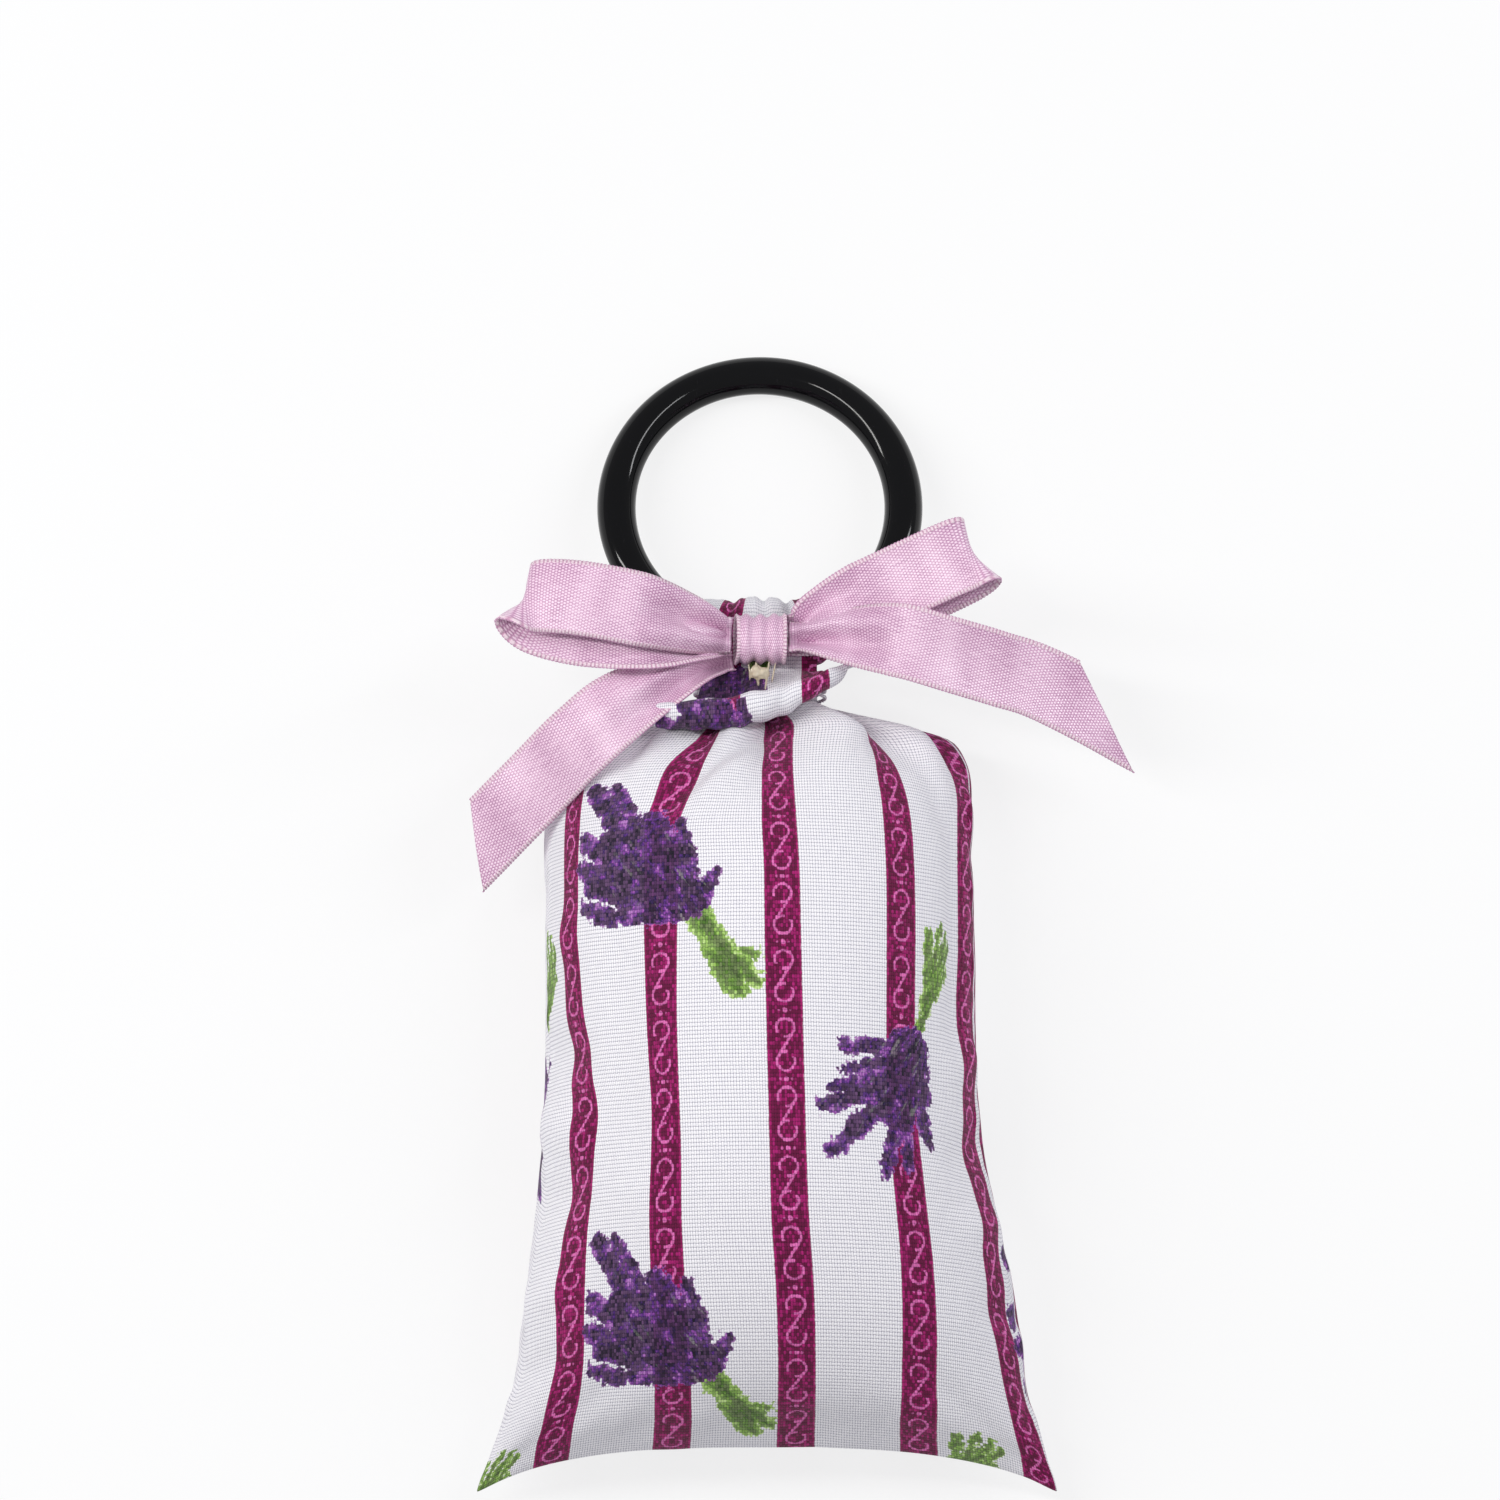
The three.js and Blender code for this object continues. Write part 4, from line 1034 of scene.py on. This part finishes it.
def makeSleeve():
    places = np.linspace(-1, 1, 130)
    full = mix(sleeve["radius"], sleeve["endRadius"], np.abs(places) ** 1.6)
    x = places * sleeve["halfAngle"] * ring["radius"]
    for valley in sleeve["valleys"]:
        full = full - sleeve["valleyDepth"] * np.exp(-((x - valley) / sleeve["valleyWidth"]) ** 2)
    fine = ripple(together(x, 0, 0), 1.15, 3)
    full = full - sleeve["fineDepth"] * (0.5 + fine) * (1 - np.abs(places) ** 6)
    angles = places * sleeve["halfAngle"]
    lip = np.linspace(0, math.pi, 9)[1:-1]
    between, reach = (full[-1] + sleeve["bore"]) / 2, (full[-1] - sleeve["bore"]) / 2
    lipAngle = sleeve["halfAngle"] + reach * 0.9 * np.sin(lip) / ring["radius"]
    profile = [*zip(angles, full), *zip(lipAngle, between + reach * np.cos(lip))]
    profile += [(angle, sleeve["bore"]) for angle in np.linspace(sleeve["halfAngle"], -sleeve["halfAngle"], 30)]
    profile += [(-a, r) for a, r in zip(lipAngle, between - reach * np.cos(lip))]
    profile = np.array(profile + profile[:1])
    around = np.linspace(0, turnRound, 97)[:, None]
    along, radius = profile[None, :, 0], profile[None, :, 1]
    points = ringPlace(along, around, radius)
    cloth = together(
        sleeve["clothPlace"] + sleeve["clothScale"] * along * ring["radius"],
        sleeve["clothStart"] + around / turnRound * sleeve["clothTurn"],
    )
    piece = sheetMesh("ring_sleeve_cloth", points, cloth, cottonCloth, True, True)
    outwards(piece)
    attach(piece, "loop")
    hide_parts("hanging_loop")


makeRing()
makeSleeve()
print("ring and its sleeve made")


# Mouth of the pouch, folded forward over the neck and curled
mouth = {
    "thickness": 0.5, "neckHalfWidth": 8, "left": 19, "right": 13.2, "start": 6.1, "middle": 14.4,
    "slant": 3.2, "crescent": 2.7, "floor": 18.3, "lift": 4, "wave": 0.6, "curlRadius": 2.35,
    "curlEnd": 0.72, "liftEnd": 0.8, "turn": 300, "tighten": 0.32, "run": 0.3, "columns": 112, "rows": 84,
    "underStart": 1, "underFloor": 17.6, "creases": 0.176, "crumple": 0.25,
    "unevenRoll": 0.12, "under": 0.3, "clothStart": 139.5,
}


def makeMouth():
    across = np.linspace(-1, 1, mouth["columns"] + 1)[None]
    share = np.linspace(-mouth["under"], 1, mouth["rows"] + 1)[:, None]
    spread = smooth(0, 1, share)
    side = np.where(across < 0, mouth["left"], mouth["right"])
    roll = mouth["curlRadius"] * mix(1, mouth["curlEnd"], across ** 2)
    roll = roll * (1 + mouth["unevenRoll"] * ripple(together(across * 3, 0, 0), 0.5, 6))
    edge = mouth["middle"] - mouth["slant"] * across - mouth["crescent"] * across ** 2 - roll
    run = np.clip(share / mouth["run"], 0, 1)
    curlShare = np.maximum(share - mouth["run"], 0) / (1 - mouth["run"])
    curl = math.radians(mouth["turn"]) * curlShare
    radius = roll * (1 - mouth["tighten"] * curlShare)
    rise = mouth["lift"] * mix(1, mouth["liftEnd"], across ** 2)
    lift = (rise + mouth["wave"] * np.cos(3 * math.pi * across)) * run
    under = np.clip(-share / mouth["under"], 0, 1)
    x = mix(mouth["neckHalfWidth"], side, spread) * across
    y = neck["wireAhead"] - mix(mouth["start"], edge, run) - radius * np.sin(curl)
    z = mouth["floor"] + lift + roll - radius * np.cos(curl)
    y = mix(y, neck["wireAhead"] - mouth["underStart"], under)
    z = mix(z, mouth["underFloor"], smooth(0, 1, under))
    points = together(x, y, z)
    ahead = unit(np.gradient(points, axis=0))
    aside = unit(np.gradient(points, axis=1))
    folds = np.sin(x * 1.9 + 2 * ripple(together(x, share * 6, 0), 5, 8))
    folds = folds * smooth(-0.05, 0.12, share) * smooth(0.95, 0.3, share)
    crumple = ripple(together(x, share * 9, 0), 2.6, 5) * smooth(0, 0.3, share)
    height = mouth["creases"] * folds + mouth["crumple"] * crumple
    points = points + np.cross(aside, ahead) * height[..., None]
    path = arcPlaces(points[:, mouth["columns"] // 2])
    cloth = together(sleeve["clothPlace"] + sleeve["clothScale"] * x, mouth["clothStart"] + path[:, None])
    piece = sheetMesh("mouth_cloth", points, cloth, cottonCloth)
    thicken(piece, mouth["thickness"])
    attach(piece, "pouch")
    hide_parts("mouth_curl")


makeMouth()
print("mouth curled")


# Bow of satin ribbon
bow = {
    "width": 10.5, "thickness": 0.32, "ahead": 65.096, "middle": 20.8, "rise": 4.2, "start": 4,
    "across": 16, "folds": 1.5, "cup": 0.5, "wave": 0.55,
}
ribbonEdge = {"spacing": 0.52, "length": 0.5, "thickness": 0.28, "uneven": 0.1, "seed": 3}
leftLoopRows = [
    [0, 0.02, 0.5, 0, 0.45], [0.06, 0.03, 0.55, 0, 0.5], [0.18, 0.1, 1.35, 0, 0.75],
    [0.45, 0.24, 2.3, -0.015, 1], [0.75, 0.38, 2.5, -0.045, 1], [0.95, 0.43, 2.2, -0.062, 1],
    [1, 0.36, 1.85, -0.067, 1], [0.93, 0.16, 1.72, -0.055, 1], [0.7, 0, 1.7, -0.03, 1],
    [0.4, -0.06, 1.68, -0.01, 0.95], [0.17, -0.02, 0.98, 0, 0.7], [0.06, 0, 0.25, 0, 0.5],
    [0, 0, 0.2, 0, 0.45],
]
rightLoopRows = [
    [0, 0.08, 0.15, 0, 0.45], [0.06, 0.1, 0.19, 0, 0.5], [0.16, 0.22, 0.48, -0.02, 0.75],
    [0.42, 0.5, 0.9, -0.045, 1], [0.72, 0.82, 1.33, -0.07, 1], [0.94, 1.04, 1.55, -0.095, 1],
    [1, 1.05, 1.25, -0.1, 1], [0.93, 0.93, 0.85, -0.095, 1], [0.7, 0.68, 0.43, -0.07, 1],
    [0.4, 0.34, 0.26, -0.04, 0.95], [0.17, 0.1, 0.05, 0, 0.7], [0.06, 0.02, -0.12, 0, 0.5],
    [0, 0.02, -0.15, 0, 0.45],
]
leftTailRows = [
    [0, -0.2, -0.15, 0, 0.42], [0.05, -0.24, -0.1, 0.03, 0.45], [0.15, -0.4, 0.62, 0.06, 0.62],
    [0.39, -0.97, 1.42, 0.1, 0.95], [0.55, -1.45, 1.2, 0.11, 1], [0.7, -1.95, 0.35, 0.12, 1],
    [1, -2.97, -1.25, 0.13, 1],
]
rightTailRows = [
    [0, 0, 0.46, 0, 0.42], [0.05, 0, 0.5, 0, 0.45], [0.166, -0.03, 1.07, 0.01, 0.8],
    [0.304, -0.14, 1.6, 0.026, 1], [0.429, -0.3, 1.52, 0.04, 1], [0.583, -0.47, 0.88, 0.04, 1],
    [0.72, -0.65, 0.17, 0.045, 1], [1, -1.26, -1.2, 0.065, 1],
]
ribbons = (  # piece, node, rows, side, reach, steps, slant of the end and seed
    ("left_loop_ribbon", "bow_loop_left", leftLoopRows, -1, 29, 170, 0, 0.4),
    ("right_loop_ribbon", "bow_loop_right", rightLoopRows, 1, 26.2, 170, 0, 2.1),
    ("left_tail_ribbon", "bow_tail_left", leftTailRows, -1, 38.5, 130, 0.15, 3.3),
    ("right_tail_ribbon", "bow_tail_right", rightTailRows, 1, 50.6, 130, 0.25, 5.2),
)
edgeTree = repeatTree("ribbonEdge", satinRibbon, 6, 4)


def ribbonGrid(rows, side, reach, steps, cut, seed):
    table = np.array(rows)
    knots = np.linspace(0, 1, len(rows))

    def column(index, t):
        return follow(together(knots, table[:, index]), t)

    def centre(t):
        return together(
            side * (bow["start"] + reach * column(0, t)), bow["ahead"] + bow["width"] * column(1, t),
            bow["middle"] + bow["rise"] * column(2, t),
        )

    fine = np.linspace(0, 1, 800)
    travel = arcPlaces(centre(fine))
    length = travel[-1]
    across = np.linspace(-1, 1, bow["across"] + 1)[None]
    share = np.linspace(0, 1, steps + 1)[:, None] * (1 - cut * (across + 1) / 2)
    t = np.interp(share, travel / length, fine)
    step = 0.006
    ahead = unit(centre(np.minimum(t + step, 1)) - centre(np.maximum(t - step, 0)))
    turn = turnRound * column(3, t)
    width = together(side * np.sin(turn), np.cos(turn), 0)
    width = unit(width - ahead * (width * ahead).sum(-1, keepdims=True))
    normal = np.cross(ahead, width)
    opened = np.clip(column(4, t), 0.2, 1)
    pinch = opened * bow["width"] / bow["folds"] / 4 * np.sqrt(np.maximum(1 / opened ** 2 - 1, 0))
    pinch = pinch * smooth(0, 4.5, np.abs(centre(t)[..., 0]) - bow["start"] + 1.5)
    folds = np.sin(math.pi * bow["folds"] * across + 0.6 + seed) * pinch
    cup = bow["cup"] * (across ** 2 - 0.33) * smooth(0.6, 1, opened)
    wave = bow["wave"] * ripple(together(share * length, across * 4, 0), 9, seed + 1.5)
    points = centre(t) + width * (across * bow["width"] / 2 * opened)[..., None]
    points = points + normal * (folds + cup + wave)[..., None]
    return points, together(across * bow["width"] / 2, share * length), length


def makeRibbon(name, node, *course):
    points, cloth, length = ribbonGrid(*course)
    piece = sheetMesh(name, points, cloth, satinRibbon)
    thicken(piece, bow["thickness"])
    for place in (0, -1):
        edge = beadRow(f"{name}_edge_{'ab'[place]}", points[:, place], edgeTree, ribbonEdge)
        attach(edge, "pouch")
    length * mm
    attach(piece, "pouch")
    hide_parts(node)


knot = {
    "length": 6.7, "halfWidth": 3.6, "halfHeight": 2.95, "middle": 21, "squareness": 0.7, "waist": 0.1,
    "ridges": 0.26, "ridgeCount": 3.5, "skew": 0.25, "uneven": 0.12,
}


def makeKnot():
    place = np.linspace(-1, 1, 41)[None]
    angle = np.linspace(0, turnRound, 121)[:, None]
    full = 1 - knot["waist"] * (1 - place ** 2)
    ridge = knot["ridges"] * np.cos(math.pi * knot["ridgeCount"] * place + 0.8 * np.sin(angle))
    ridge = ridge + knot["uneven"] * ripple(together(place * 3, np.cos(angle), np.sin(angle)), 0.8, 2)

    def rounded(value, size):
        return np.sign(value) * np.abs(value) ** knot["squareness"] * (size * full + ridge)

    points = together(
        knot["length"] / 2 * place + knot["skew"] * np.sin(angle),
        bow["ahead"] + rounded(np.cos(angle), knot["halfWidth"]),
        knot["middle"] + rounded(np.sin(angle), knot["halfHeight"]),
    )
    around = arcPlaces(points[:, 20])
    cloth = together(place * bow["width"] / 2, around[:, None])
    piece = sheetMesh("knot_ribbon", points, cloth, satinRibbon, aroundAlong=True)
    outwards(piece)
    thicken(piece, bow["thickness"], -1)
    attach(piece, "pouch")
    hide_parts("bow_knot")


makeKnot()
for ribbon in ribbons:
    makeRibbon(*ribbon)
print("bow tied")


# Glue between the knot and the mouth, with a few drawn-out strings
glue = {"place": (-0.2, 60.1, 21.9), "size": (1.3, 1, 0.7), "uneven": 0.5, "thinning": 0.35, "voxel": 0.11}
glueStrings = (
    ((-0.6, 61.6, 22.6), (-0.2, 58.2, 21.4), 0.34), ((1.3, 61.7, 22.9), (0.7, 57.6, 21.3), 0.28),
    ((2.2, 61.6, 22.4), (1.6, 58.6, 21.7), 0.22), ((-1.6, 61.5, 22.2), (-1.4, 58.9, 21.5), 0.2),
)


def makeGlue():
    work = bmesh.new()
    bmesh.ops.create_icosphere(work, subdivisions=4, radius=1.0)
    for corner in work.verts:
        bulge = 1 + glue["uneven"] * noise.noise(corner.co * 1.7 + Vector((3, 1, 5)))
        corner.co = Vector([glue["place"][k] + glue["size"][k] * bulge * corner.co[k] for k in range(3)]) * mm
    for start, end, radius in glueStrings:
        start, end = Vector(start), Vector(end)
        made = bmesh.ops.create_icosphere(work, subdivisions=3, radius=1.0)["verts"]
        turn = (end - start).to_track_quat("Z", "Y").to_matrix()
        reach = (end - start).length / 2
        for corner in made:
            thin = radius * (1 - glue["thinning"] * (1 - corner.co.z ** 2))
            local = Vector((corner.co.x * thin, corner.co.y * thin, corner.co.z * reach))
            corner.co = ((start + end) / 2 + turn @ local) * mm
    mesh = bpy.data.meshes.new("glue_blob")
    work.to_mesh(mesh)
    work.free()
    mesh.materials.append(glueSurface)
    piece = newObject("glue_blob", mesh)
    join = piece.modifiers.new("join", "REMESH")
    join.mode, join.voxel_size, join.use_smooth_shade = "VOXEL", glue["voxel"] * mm, True
    soften = piece.modifiers.new("soften", "SMOOTH")
    soften.factor, soften.iterations = 0.6, 4
    settle(piece)
    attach(piece, "pouch")
    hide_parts("glue_dab")


makeGlue()
print("glue set")
